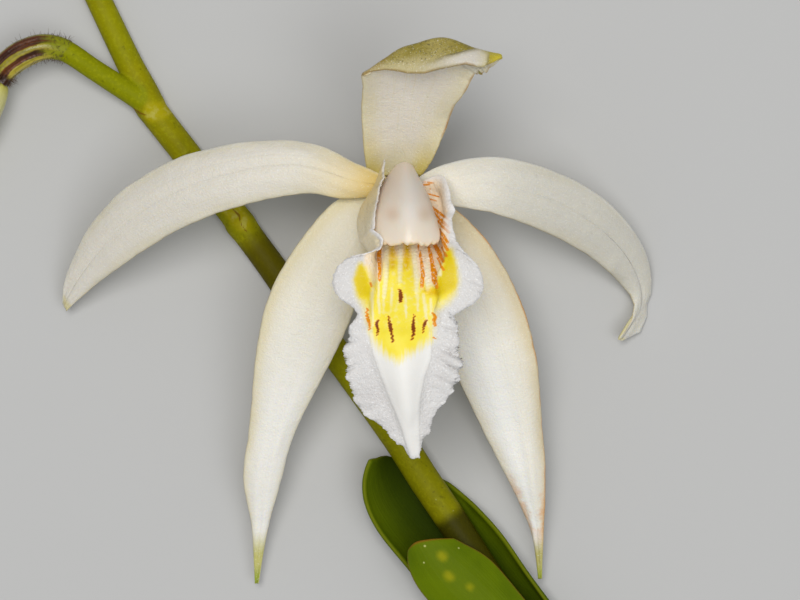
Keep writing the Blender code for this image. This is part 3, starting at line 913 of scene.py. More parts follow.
@dataclass(frozen=True)
class ColumnFinish:
    """The column's smooth, blushing ivory skin."""

    name: str = "column"
    ivory: Colour = srgb(232, 220, 202)
    blush: Colour = srgb(226, 210, 192)
    light: Colour = srgb(226, 220, 212)
    dimple: Colour = srgb(212, 180, 150)
    rim: Colour = srgb(236, 206, 160)

    def material(self) -> Material:
        """Ivory towards the front edge, with a painted highlight along its crest, its dimples and a warm
        rim.

        Returns:
            The material.
        """
        s = Shader(self.name)
        along, spot = s.value("along"), s.place()
        cloud = s.noise(spot, 260, 2)
        colour = s.mix(s.rise(along + (cloud - 0.5) * 0.3, 0.35, 0.85), self.blush, self.ivory)
        # Painted highlight: a cool white band down the crest.
        colour = s.mix(s.value("light") * 0.8, colour, self.light)
        # Darker peach in the dimples: partly their own tint, partly painted shade in the hollows.
        colour = s.mix(s.value("dimple") * 0.5, colour, self.dimple)
        colour = s.mix(s.rise(s.value("edge"), 0.5, 0.0) * 0.35, colour, self.rim)
        relief = s.bump(s.noise(spot, 3000, 3), 0.00002)
        light = flesh(0.3, (1.0, 0.6, 0.4), 0.0007)
        return s.finish(base_color=colour, roughness=0.36, normal=relief, **light)


@dataclass(frozen=True)
class AntherFinish:
    """The anther cap's creamy yellow skin."""

    name: str = "anther"
    yellow: Colour = srgb(236, 214, 150)
    cream: Colour = srgb(240, 228, 186)

    def material(self) -> Material:
        """Cream clouds on yellow.

        Returns:
            The material.
        """
        s = Shader(self.name)
        cloud = s.noise(s.place(), 900, 2)
        colour = s.mix(cloud, self.yellow, self.cream)
        return s.finish(base_color=colour, roughness=0.4, normal=s.bump(cloud, 0.00003))


@dataclass(frozen=True)
class StemFinish:
    """The stem's fleshy olive green skin, paler and scarred at its nodes."""

    name: str = "stem"
    green: Colour = srgb(144, 138, 2)
    deep: Colour = srgb(126, 122, 2)
    bright: Colour = srgb(146, 150, 4)
    fresh: Colour = srgb(130, 136, 0)
    mottle: Colour = srgb(168, 168, 16)
    foot: Colour = srgb(54, 54, 0)
    pit: Colour = srgb(76, 74, 4)
    shade: Colour = srgb(74, 66, 0)
    yellow: Colour = srgb(170, 158, 12)
    pith: Colour = srgb(196, 192, 116)
    scar: Colour = srgb(118, 84, 8)
    cut: Colour = srgb(206, 204, 130)

    def material(self) -> Material:
        """Mottled green, with the flush, the pith and the scar of each node, a painted shadow under the
        bloom, and the pale cut ends.

        Returns:
            The material.
        """
        s = Shader(self.name)
        spot = s.place()
        cloud = s.noise(spot, 260, 3, 0.6)
        fine = s.noise(spot, 1900, 3, 0.6)
        colour = s.mix(s.rise(cloud, 0.3, 0.7), self.deep, self.green)
        colour = s.mix(s.rise(s.noise(spot, 90, 2), 0.42, 0.66) * 0.4, colour, self.bright)
        colour = s.mix(s.value("fresh") * 0.8, colour, self.fresh)
        colour = s.mix(s.rise(s.noise(spot, 3400, 2, 0.6), 0.48, 0.68) * 0.3, colour, self.mottle)
        colour = s.mix(s.value("foot"), colour, self.foot)
        colour = s.mix(s.rise(fine, 0.38, 0.28) * 0.45, colour, self.pit)
        colour = s.mix(s.rise(s.noise(spot, 3200, 1), 0.74, 0.82) * 0.4, colour, self.pith)
        # Painted shadow where the stem passes under the bloom, and a plain darkening towards the foot.
        colour = s.mix(s.value("painted_shadow_and_darkening") * 0.85, colour, self.shade)
        flush = s.value("node") + (cloud - 0.5) * 0.5 + (fine - 0.5) * 0.5
        colour = s.mix(s.rise(flush, 0.1, 0.9) * 0.8, colour, self.yellow)
        pith = s.rise(flush, 0.5, 1.0) * s.rise(s.noise(spot, 1700, 3, 0.6), 0.42, 0.66)
        colour = s.mix(pith * 0.35, colour, self.pith)
        torn = s.value("scar") + (s.noise(spot, 2600, 3, 0.65) - 0.5) * 0.5
        colour = s.mix(s.rise(torn, 0.5, 0.75) * 0.85, colour, self.scar)
        colour = s.mix(s.value("cut"), colour, self.cut)
        relief = s.bump(s.noise(spot, 1100, 2, 0.6), 0.00003)
        relief = s.bump(s.noise(spot, 6000, 1), 0.00002, relief)
        return s.finish(
            base_color=colour,
            roughness=0.5 + cloud * 0.1,
            specular_ior_level=0.08,
            normal=relief,
            **flesh(0.12, (0.8, 1.0, 0.2), 0.0006),
        )


@dataclass(frozen=True)
class OvaryFinish:
    """The glossy ovary: yellow-green ribs with dark brown grooves."""

    name: str = "ovary"
    green: Colour = srgb(134, 124, 16)
    olive: Colour = srgb(104, 100, 8)
    yellow: Colour = srgb(196, 178, 66)
    brown: Colour = srgb(54, 22, 4)
    rust: Colour = srgb(110, 58, 20)
    stalk: Colour = srgb(132, 136, 0)
    crown: Colour = srgb(212, 204, 140)
    stalk_reach: float = 0.26

    def material(self) -> Material:
        """Green like the stalk at first, then yellow and brown ribs, up to a brown ring or a pale crown.

        Returns:
            The material.
        """
        s = Shader(self.name)
        spot, along = s.place(), s.value("along")
        cloud = s.noise(spot, 900, 3, 0.6)
        streaks = s.noise(s.vector(s.value("around") * 30, along * 2.4), 1.0, 3)
        colour = s.mix(s.rise(cloud, 0.35, 0.7), self.green, self.olive)
        colour = s.mix(s.value("lit") * s.rise(streaks, 0.3, 0.6), colour, self.yellow)
        wet = s.value("groove") + (cloud - 0.5) * 0.5 + (streaks - 0.5) * 0.5
        green = s.rise(along + (streaks - 0.5) * 0.36, self.stalk_reach, 0.06)
        brown = s.rise(wet - green * 0.6, 0.26, 0.44)
        colour = s.mix(brown, colour, s.mix(s.rise(streaks, 0.4, 0.7), self.brown, self.rust))
        colour = s.mix(green, colour, self.stalk)
        colour = s.mix(s.value("ring"), colour, self.brown)
        colour = s.mix(s.value("crown"), colour, self.crown)
        return s.finish(
            base_color=colour,
            roughness=0.24 + cloud * 0.2 + green * 0.3,
            normal=s.bump(s.noise(spot, 2600, 3, 0.7), 0.00007),
            specular_ior_level=0.3,
            coat_weight=(1 - green) * 0.3,
            coat_roughness=0.12,
        )


@dataclass(frozen=True)
class BudFinish:
    """The closed bud: greenish cream, greener at its base and along its veins."""

    name: str = "bud"
    cream: Colour = srgb(214, 212, 150)
    pale: Colour = srgb(226, 222, 180)
    vein: Colour = srgb(178, 178, 84)
    base: Colour = srgb(190, 182, 60)
    tip: Colour = srgb(160, 164, 60)
    seam: Colour = srgb(150, 140, 60)

    def material(self) -> Material:
        """Cream with green veins, base, tip and seams.

        Returns:
            The material.
        """
        s = Shader(self.name)
        spot, along = s.place(), s.value("along")
        veins = s.noise(s.vector(s.value("around") * 60, along * 3), 1.0, 2)
        cloud = s.noise(spot, 240, 3)
        colour = s.mix(s.rise(cloud, 0.3, 0.7), self.cream, self.pale)
        colour = s.mix(s.rise(veins, 0.5, 0.72) * 0.5, colour, self.vein)
        colour = s.mix(s.rise(along + (cloud - 0.5) * 0.2, 0.3, 0.0), colour, self.base)
        colour = s.mix(s.rise(along, 0.9, 1.0) * 0.8, colour, self.tip)
        colour = s.mix(s.value("seam") * 0.5, colour, self.seam)
        relief = s.bump(veins, 0.00008, s.bump(s.noise(spot, 2600, 3), 0.00004))
        light = flesh(0.2, (1.0, 0.9, 0.4), 0.0008)
        return s.finish(base_color=colour, roughness=0.42, normal=relief, **light)


@dataclass(frozen=True)
class LeafFinish:
    """A young leaf's green skin, with faint veins along it and a thin margin."""

    name: str
    green: Colour
    light: Colour
    deep: Colour
    rim: Colour
    rim_width: float = 0.22
    glow: float = 0.4
    deep_from: float = 0.9
    spots: float = 0.0
    spot_light: Colour = srgb(154, 150, 8)
    speck: Colour = srgb(214, 214, 140)

    def material(self) -> Material:
        """Green with deep veins, its middle in the deep colour, which on the back leaf is painted shade in
        its channel, light spots where the leaf has any, and its margin.

        Returns:
            The material.
        """
        s = Shader(self.name)
        across, along, edge, spot = s.value("across"), s.value("along"), s.value("edge"), s.place()
        cloud = s.noise(spot, 170, 3, 0.55)
        veins = s.noise(s.vector(across * 60, along * 1.5, cloud * 0.2), 1.0, 1)
        colour = s.mix(s.rise(cloud, 0.3, 0.7), self.green, self.light)
        colour = s.mix(s.rise(veins, 0.5, 0.7) * 0.12, colour, self.deep)
        # Towards the middle: on the back leaf, painted shade in the channel under the stem; on the front
        # leaf, a green much like its own.
        colour = s.mix(s.rise(s.size(across * 2 - 1), self.deep_from, 0.1) * 0.8, colour, self.deep)
        if self.spots:
            blur = s.value("spots") + (s.noise(spot, 1600, 2) - 0.5) * 0.2
            colour = s.mix(s.rise(blur, -0.4, 0.2) * self.spots, colour, self.spot_light)
            colour = s.mix(s.rise(s.value("specks"), -0.04, 0.04) * self.spots, colour, self.speck)
        colour = s.mix(s.rise(edge, self.rim_width * 3, 0.0) * self.glow, colour, self.light)
        colour = s.mix(s.rise(edge, self.rim_width, 0.02) * 0.8, colour, self.rim)
        return s.finish(
            base_color=colour,
            roughness=0.55 + cloud * 0.12,
            specular_ior_level=0.08,
            normal=s.bump(veins, 0.00003, s.bump(s.noise(spot, 1600, 2, 0.6), 0.00003)),
            **flesh(0.08, (0.6, 1.0, 0.1), 0.0006),
        )


@dataclass(frozen=True)
class HairFinish:
    """The dark brown down on the ovaries."""

    name: str = "down"
    dark: Colour = srgb(64, 42, 26)
    light: Colour = srgb(112, 80, 56)

    def material(self) -> Material:
        """The down's material."""
        s = Shader(self.name)
        return s.finish(base_color=s.mix(s.noise(s.place(), 2500, 1), self.dark, self.light), roughness=0.6)


@dataclass(frozen=True)
class FloorFinish:
    """The plain pale surface that the stem lies on."""

    name: str = "surface"
    pale: Colour = srgb(188, 188, 187)
    grey: Colour = srgb(180, 180, 180)

    def material(self) -> Material:
        """The surface's material.

        Returns:
            The material.
        """
        s = Shader(self.name)
        colour = s.mix(s.noise(s.place(), 40, 2) * 0.15, self.pale, self.grey)
        return s.finish(base_color=colour, roughness=0.8)


class Slot(Enum):
    """The record's material slots."""

    TEPAL = "tepal_white"
    LIP = "lip_white"
    COLUMN = "column_ivory"
    ANTHER = "anther_yellow"
    STEM = "stem_green"
    OVARY = "ovary_brown"
    BUD = "bud_cream"
    LEAF = "leaf_green"


def place_piece(piece: Object, slot: Slot, *nodes: str) -> Object:
    """Sets a finished piece on the plant.

    Args:
        piece: The piece, in place.
        slot: The finish that it takes. It is not used.
        nodes: The solids that it stands for, if any.

    Returns:
        The piece.
    """
    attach(piece, ROOT)
    if nodes:
        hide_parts(*nodes)
    return piece


@dataclass
class Tepal:
    """A petal or a sepal: a thin blade with a shallow channel along its middle and faint lines beside it."""

    node: str
    rails: Sequence[Rail]
    finish: TepalFinish
    rows: int = 190
    columns: int = 56
    thickness: float = 0.32
    channel: float = 0.1
    channel_width: float = 0.2
    channel_end: float = 1.0
    line: float = 0.05
    line_width: float = 0.022
    side_lines: tuple[float, ...] = (0.3, 0.68)
    side_line_width: float = 0.03
    wave: float = 0.06
    unevenness: float = 0.006
    first_edge: Outline | None = None
    last_edge: Outline | None = None
    roll: Patch | None = None
    roll_height: float = 0.3
    roll_rounding: float = 0.3
    seed: int = 1

    def uneven(self, across: Array, along: Array) -> Array:
        """Draws the margins in and out a little.

        Args:
            across: How far across the blade each point is.
            along: How far along the blade each point is.

        Returns:
            How far across the rails each point is set.
        """
        left = self.unevenness * wobble(along, self.seed + 10, 0.05)
        right = self.unevenness * wobble(along, self.seed + 20, 0.05)
        return across + left * (1 - across) ** 8 + right * across**8

    def relief(self, sheet: Sheet) -> Array:
        """How far the blade's skin stands out: its channel, its lines, and the waves of its margins.

        Args:
            sheet: The blade.

        Returns:
            The height at each point.
        """
        fade = np.sin(np.pi * np.clip(sheet.along / self.channel_end, 0, 1)) ** 0.8
        drift = 0.012 * wobble(sheet.along, self.seed + 30, 0.4)
        depth = self.channel * hump(sheet.across - 0.5, self.channel_width)
        depth += self.line * hump(sheet.across - 0.5 - drift, self.line_width)
        for place in self.side_lines:
            depth += 0.4 * self.line * hump(sheet.across - place - drift, self.side_line_width)
        outer = np.abs(2 * sheet.across - 1) ** 4
        side = np.where(sheet.across > 0.5, 7.3, 0.0)
        waves = self.wave * outer * wobble(sheet.along + side, self.seed, 0.16)
        return waves - depth * fade + 0.03 * wobble(sheet.along * 3 + sheet.across * 2, self.seed + 40, 0.9)

    def roll_up(self, sheet: Sheet) -> dict[str, Array]:
        """Raises the frill that is rolled up near the tip, if the blade has one.

        Args:
            sheet: The blade, whose grid is changed.

        Returns:
            How deep inside the roll each point is, under the name that the material reads.
        """
        if not self.roll:
            return {}
        inside = np.where(sheet.along > 0.5, self.roll.inside(FRONT.plan(sheet.grid)), -1.0)
        height = self.roll_height * dome(inside / self.roll_rounding)
        sheet.grid[..., 2] += height * ramp(sheet.along, 0.66, 0.8)
        return {"roll": inside}

    def build(self) -> Object:
        """The blade, dressed and set on the plant.

        Returns:
            The piece.
        """
        sheet = Sheet(self.rails, self.rows, self.columns, self.uneven)
        for outline, last in ((self.first_edge, False), (self.last_edge, True)):
            if outline:
                outline.pull(sheet, last)
        sheet.raise_by(self.relief(sheet))
        body = sheet.closed(self.thickness, **self.roll_up(sheet)).above_surface()
        return place_piece(body.build(self.node + "_blade", self.finish.material()), Slot.TEPAL, self.node)


@dataclass
class Perianth:
    """The bloom's three sepals and two petals."""

    left_petal: Sequence[Rail] = (
        [(7.1, 10.8, 10.7), (4.4, 12.1, 11.1), (0.4, 13.8, 11.4), (-4.6, 13.8, 10.8), (-10.4, 12.5, 8.9),
         (-15.7, 9.3, 6.2), (-19, 4.7, 3.2), (-20, 0.9, 1.5)],
        [(7, 10.3, 10.95), (4.1, 10.7, 11.7), (-0.2, 11.9, 12.2), (-5, 11.5, 11.6), (-10, 10, 9.8),
         (-14.6, 7.2, 7), (-18.1, 3.5, 3.7), (-19.85, 0.6, 1.5)],
        [(7.05, 9.85, 10.7), (3.8, 9.3, 11.2), (0.1, 9.7, 11.5), (-5, 8.7, 10.9), (-9.3, 7.2, 9.1),
         (-13.5, 4.9, 6.4), (-17.3, 2.3, 3.4), (-19.7, 0.3, 1.5)],
    )
    right_petal: Sequence[Rail] = (
        [(9.1, 10.8, 10.7), (11.8, 12.2, 11), (15.8, 12.6, 11), (20.4, 11.5, 9.2), (24.5, 9.3, 6.4),
         (27.5, 6.1, 3), (28.6, 2.9, 0.8), (28.2, 0.1, 0.2), (27.2, -1.5, 0.6), (26, -2.2, 1.2)],
        [(9.2, 10.3, 10.95), (12, 10.5, 11.6), (15.5, 10.5, 11.6), (19.4, 9.5, 9.9), (23.2, 7.5, 7.1),
         (26.2, 5, 3.8), (27.6, 2.4, 1.5), (27.6, 0.4, 1), (26.7, -1.1, 1.3), (25.9, -2.05, 1.5)],
        [(9.15, 9.85, 10.7), (11.8, 8.8, 11.1), (15, 8.2, 11.1), (18.4, 7.1, 9.4), (21.8, 5.6, 6.7),
         (24.8, 3.7, 3.5), (26.6, 1.9, 1.5), (27, 0.5, 1.5), (26.3, -0.9, 2), (25.8, -1.9, 1.8)],
    )
    dorsal_sepal: Sequence[Rail] = (
        [(5.47, 11, 9.9), (4.99, 12.43, 10.3), (4.74, 15.66, 13), (4.85, 17.9, 15.6), (5.04, 18.9, 17.4),
         (7.8, 18.89, 18.8), (10.75, 19.12, 19.5), (13.55, 19.43, 19.5), (15.68, 20.16, 18.4)],
        [(6.68, 11.16, 9.8), (6.2, 12.67, 10.15), (6.13, 15.83, 12.8), (6.38, 18.37, 15.6),
         (6.5, 19.82, 17.9), (8.5, 20.42, 18.9), (10.91, 20.88, 19.3), (13.56, 20.35, 19.1),
         (15.72, 20.21, 18.3)],
        [(7.96, 11.32, 9.75), (7.88, 12.92, 10.1), (8.04, 16, 12.7), (8.51, 18.85, 15.5),
         (8.22, 20.56, 17.9), (9.46, 21.1, 18.6), (11.38, 21.46, 18.8), (13.73, 20.69, 18.6),
         (15.77, 20.26, 18.1)],
        [(8.84, 11.24, 9.8), (9.16, 12.75, 10.2), (9.87, 15.83, 12.9), (11.03, 18.52, 15.8),
         (11.48, 19.84, 17.3), (11.87, 20.13, 17.6), (12.65, 20.37, 17.6), (14.22, 20.13, 17.6),
         (15.77, 20.15, 17.9)],
        [(9.49, 11.16, 9.9), (10.28, 12.42, 10.4), (11.69, 15.58, 13), (13, 17.73, 15.8),
         (13.61, 18.85, 16.8), (13.92, 19.24, 16.9), (14.31, 18.96, 16.9), (15.01, 19.38, 17.1),
         (15.78, 20.08, 17.8)],
    )
    left_lateral_sepal: Sequence[Rail] = (
        [(6.9, 9.85, 9.75), (3.2, 9.5, 9.7), (-0.2, 6, 9.5), (-2.7, 1.8, 8.9), (-3.8, -3, 7.7),
         (-4.5, -9.4, 5.6), (-5, -13.4, 4.2), (-4.4, -17.5, 2.7), (-4.2, -22.2, 1.3)],
        [(7.35, 9.5, 10), (4.6, 7.9, 10.2), (2.3, 4.6, 10.2), (0.6, 0.9, 9.7), (-0.8, -3.5, 8.5),
         (-2.4, -9.4, 6.4), (-3.4, -13.3, 4.9), (-3.7, -17.5, 2.9), (-4.05, -22.2, 1.3)],
        [(7.75, 9.05, 9.75), (5.9, 6.3, 9.7), (4.7, 3, 9.6), (3.9, -0.1, 9), (2.1, -4, 7.8),
         (-0.7, -9.4, 5.7), (-1.9, -13.4, 4.3), (-3, -17.5, 2.8), (-3.9, -22.2, 1.3)],
    )
    right_lateral_sepal: Sequence[Rail] = (
        [(8.35, 9, 9.75), (9.5, 6, 9.7), (10.5, 2.2, 9.5), (11.1, -1.1, 8.9), (12.2, -4.3, 7.7),
         (14.6, -9.6, 5.6), (16.8, -13.7, 4.2), (18.5, -17.7, 2.7), (19.2, -21.8, 1.5)],
        [(8.8, 9.45, 10), (11.1, 7.1, 10.2), (13, 3.8, 10.2), (14.4, 0.2, 9.7), (15.5, -3.8, 8.5),
         (17.1, -9.2, 6.4), (18.2, -13.8, 4.9), (19, -17.8, 2.9), (19.35, -21.8, 1.5)],
        [(9.3, 9.9, 9.75), (12.5, 8.3, 9.7), (15.4, 5.1, 9.6), (17.5, 1.2, 9), (18.8, -3.5, 7.8),
         (19.4, -8.9, 5.7), (19.7, -14, 4.3), (19.6, -17.9, 2.8), (19.5, -21.8, 1.5)],
    )
    right_petal_top: Outline = Outline(
        ((0.66, 20.08, 1.68), (0.72, 20.04, 0.64), (0.76, 19.68, -0.24), (0.8, 19.72, -1.28),
         (0.87, 19.2, -2.56), (0.94, 18.4, -2.96), (1, 17.6, -3.2)),
    )
    right_petal_foot: Outline = Outline(
        ((0.55, 16.72, 2.24), (0.62, 17.44, 1.52), (0.68, 18.4, 0.4), (0.74, 18.72, -0.4),
         (0.8, 18.56, -1.44), (0.88, 18, -2.32), (0.94, 17.68, -2.88), (1, 17.52, -3.2)),
    )
    dorsal_roll: Patch = Patch(
        ((1.2, 18.16), (1.2, 18.56), (1.38, 18.88), (2.72, 19.06), (3.58, 19.44), (4.4, 19.6),
         (5.52, 19.9), (6.4, 20), (7.04, 19.68), (6.88, 18.72), (5.92, 18.64), (4.4, 18.72),
         (3.12, 18.4), (1.92, 18.04)),
    )
    dorsal_rim: Outline = Outline(
        ((0.5, -2.82, 17.92), (0.522, -2.42, 18.24), (0.57, -1.2, 18.4), (0.61, -0.32, 18.32),
         (0.648, 0.56, 18.12), (0.704, 1.92, 18.1), (0.753, 3.12, 18.44), (0.809, 4.4, 18.72),
         (0.847, 5.28, 18.82), (0.875, 5.92, 18.7), (0.9, 6.5, 18.6), (0.96, 7.52, 19.04),
         (1, 8.16, 19.44)),
    )
    dorsal_teeth: Outline = Outline(
        ((0.19, 3.2, 12.56), (0.22, 3.74, 13.76), (0.25, 4, 14.59), (0.31, 4.4, 15.6),
         (0.34, 4.84, 16.1), (0.375, 5.34, 16.8), (0.43, 5.68, 17.52), (0.5, 5.92, 17.96),
         (0.6, 6.12, 18.32), (0.66, 6.24, 18.04), (0.7, 6.4, 18.36), (0.75, 6.6, 18),
         (0.79, 6.8, 18.36), (0.82, 6.96, 18.16), (0.86, 7.2, 18.56), (0.92, 7.52, 18.72),
         (0.96, 7.84, 19.04), (1, 8.16, 19.44)),
        softness=3.0, fade=0.14, teeth=0.05, seed=13,
    )

    def petals(self) -> list[Tepal]:
        """The two petals.

        Returns:
            Them, the left one first.
        """
        left = TepalFinish(
            "left petal", pale=srgb(220, 215, 204), warm=srgb(210, 202, 172), warm_reach=0.4,
            base=srgb(240, 208, 116), base_reach=0.3, lit=0.35, streaks=0.28,
        )
        # The right petal's darker white along its blade is painted shade, and its lighter white towards the
        # base is painted light.
        right = TepalFinish(
            "right petal", pale=srgb(208, 205, 194), warm=srgb(204, 197, 174), warm_reach=0.1,
            base=srgb(232, 227, 214), base_reach=0.34, lit=0.35, streaks=0.28,
        )
        return [
            Tepal("left_petal", self.left_petal, left, seed=3),
            Tepal(
                "right_petal", self.right_petal, right,
                first_edge=self.right_petal_top, last_edge=self.right_petal_foot, seed=4,
            ),
        ]

    def top_sepal(self) -> Tepal:
        """The sepal over the column, with its tip folded over.

        Returns:
            The sepal.
        """
        finish = DorsalFinish(
            "dorsal sepal", pale=srgb(224, 217, 205), warm=srgb(214, 204, 160), warm_reach=0.22,
            warm_edge=0.25, base=srgb(204, 184, 88), base_reach=0.24, base_side=0.85,
            tip=srgb(200, 184, 40), tip_start=0.985, point=srgb(196, 176, 40), rim=srgb(198, 172, 104),
            stain=srgb(172, 114, 54), stain_side=0.8, stain_low=0.17, streaks=0.26,
        )
        return Tepal(
            "dorsal_sepal", self.dorsal_sepal, finish, rows=260, columns=76, channel_end=0.5, line=0.02,
            side_lines=(0.2, 0.36, 0.64, 0.8), first_edge=self.dorsal_rim, last_edge=self.dorsal_teeth,
            roll=self.dorsal_roll, seed=5,
        )

    def lateral_sepals(self) -> list[Tepal]:
        """The two sepals at the foot.

        Returns:
            Them, the left one first.
        """
        left = TepalFinish(
            "left lateral sepal", pale=srgb(239, 236, 228), warm=srgb(228, 217, 184), warm_reach=0.62,
            cream_and_shade_lean=-0.4, base=srgb(228, 214, 168), base_reach=0.2, tip=srgb(192, 188, 112),
            tip_start=0.87, point=srgb(150, 164, 40),
        )
        right = TepalFinish(
            "right lateral sepal", pale=srgb(240, 238, 231), warm=srgb(218, 204, 170), warm_reach=0.5,
            warm_edge=0.5, cream_and_shade_lean=0.5, base=srgb(222, 212, 176), tip=srgb(186, 178, 104),
            tip_start=0.88, point=srgb(164, 172, 50), rim=srgb(202, 156, 84),
            stain=srgb(222, 150, 74), stain_start=0.7, stain_side=0.75,
        )
        smooth = {"line": 0.0, "side_lines": (), "channel": 0.16}
        return [
            Tepal("left_lateral_sepal", self.left_lateral_sepal, left, seed=6, **smooth),
            Tepal("right_lateral_sepal", self.right_lateral_sepal, right, seed=7, **smooth),
        ]

    def build(self) -> list[Object]:
        """All five blades, set on the plant."""
        blades = [*self.petals(), self.top_sepal(), *self.lateral_sepals()]
        return [blade.build() for blade in blades]


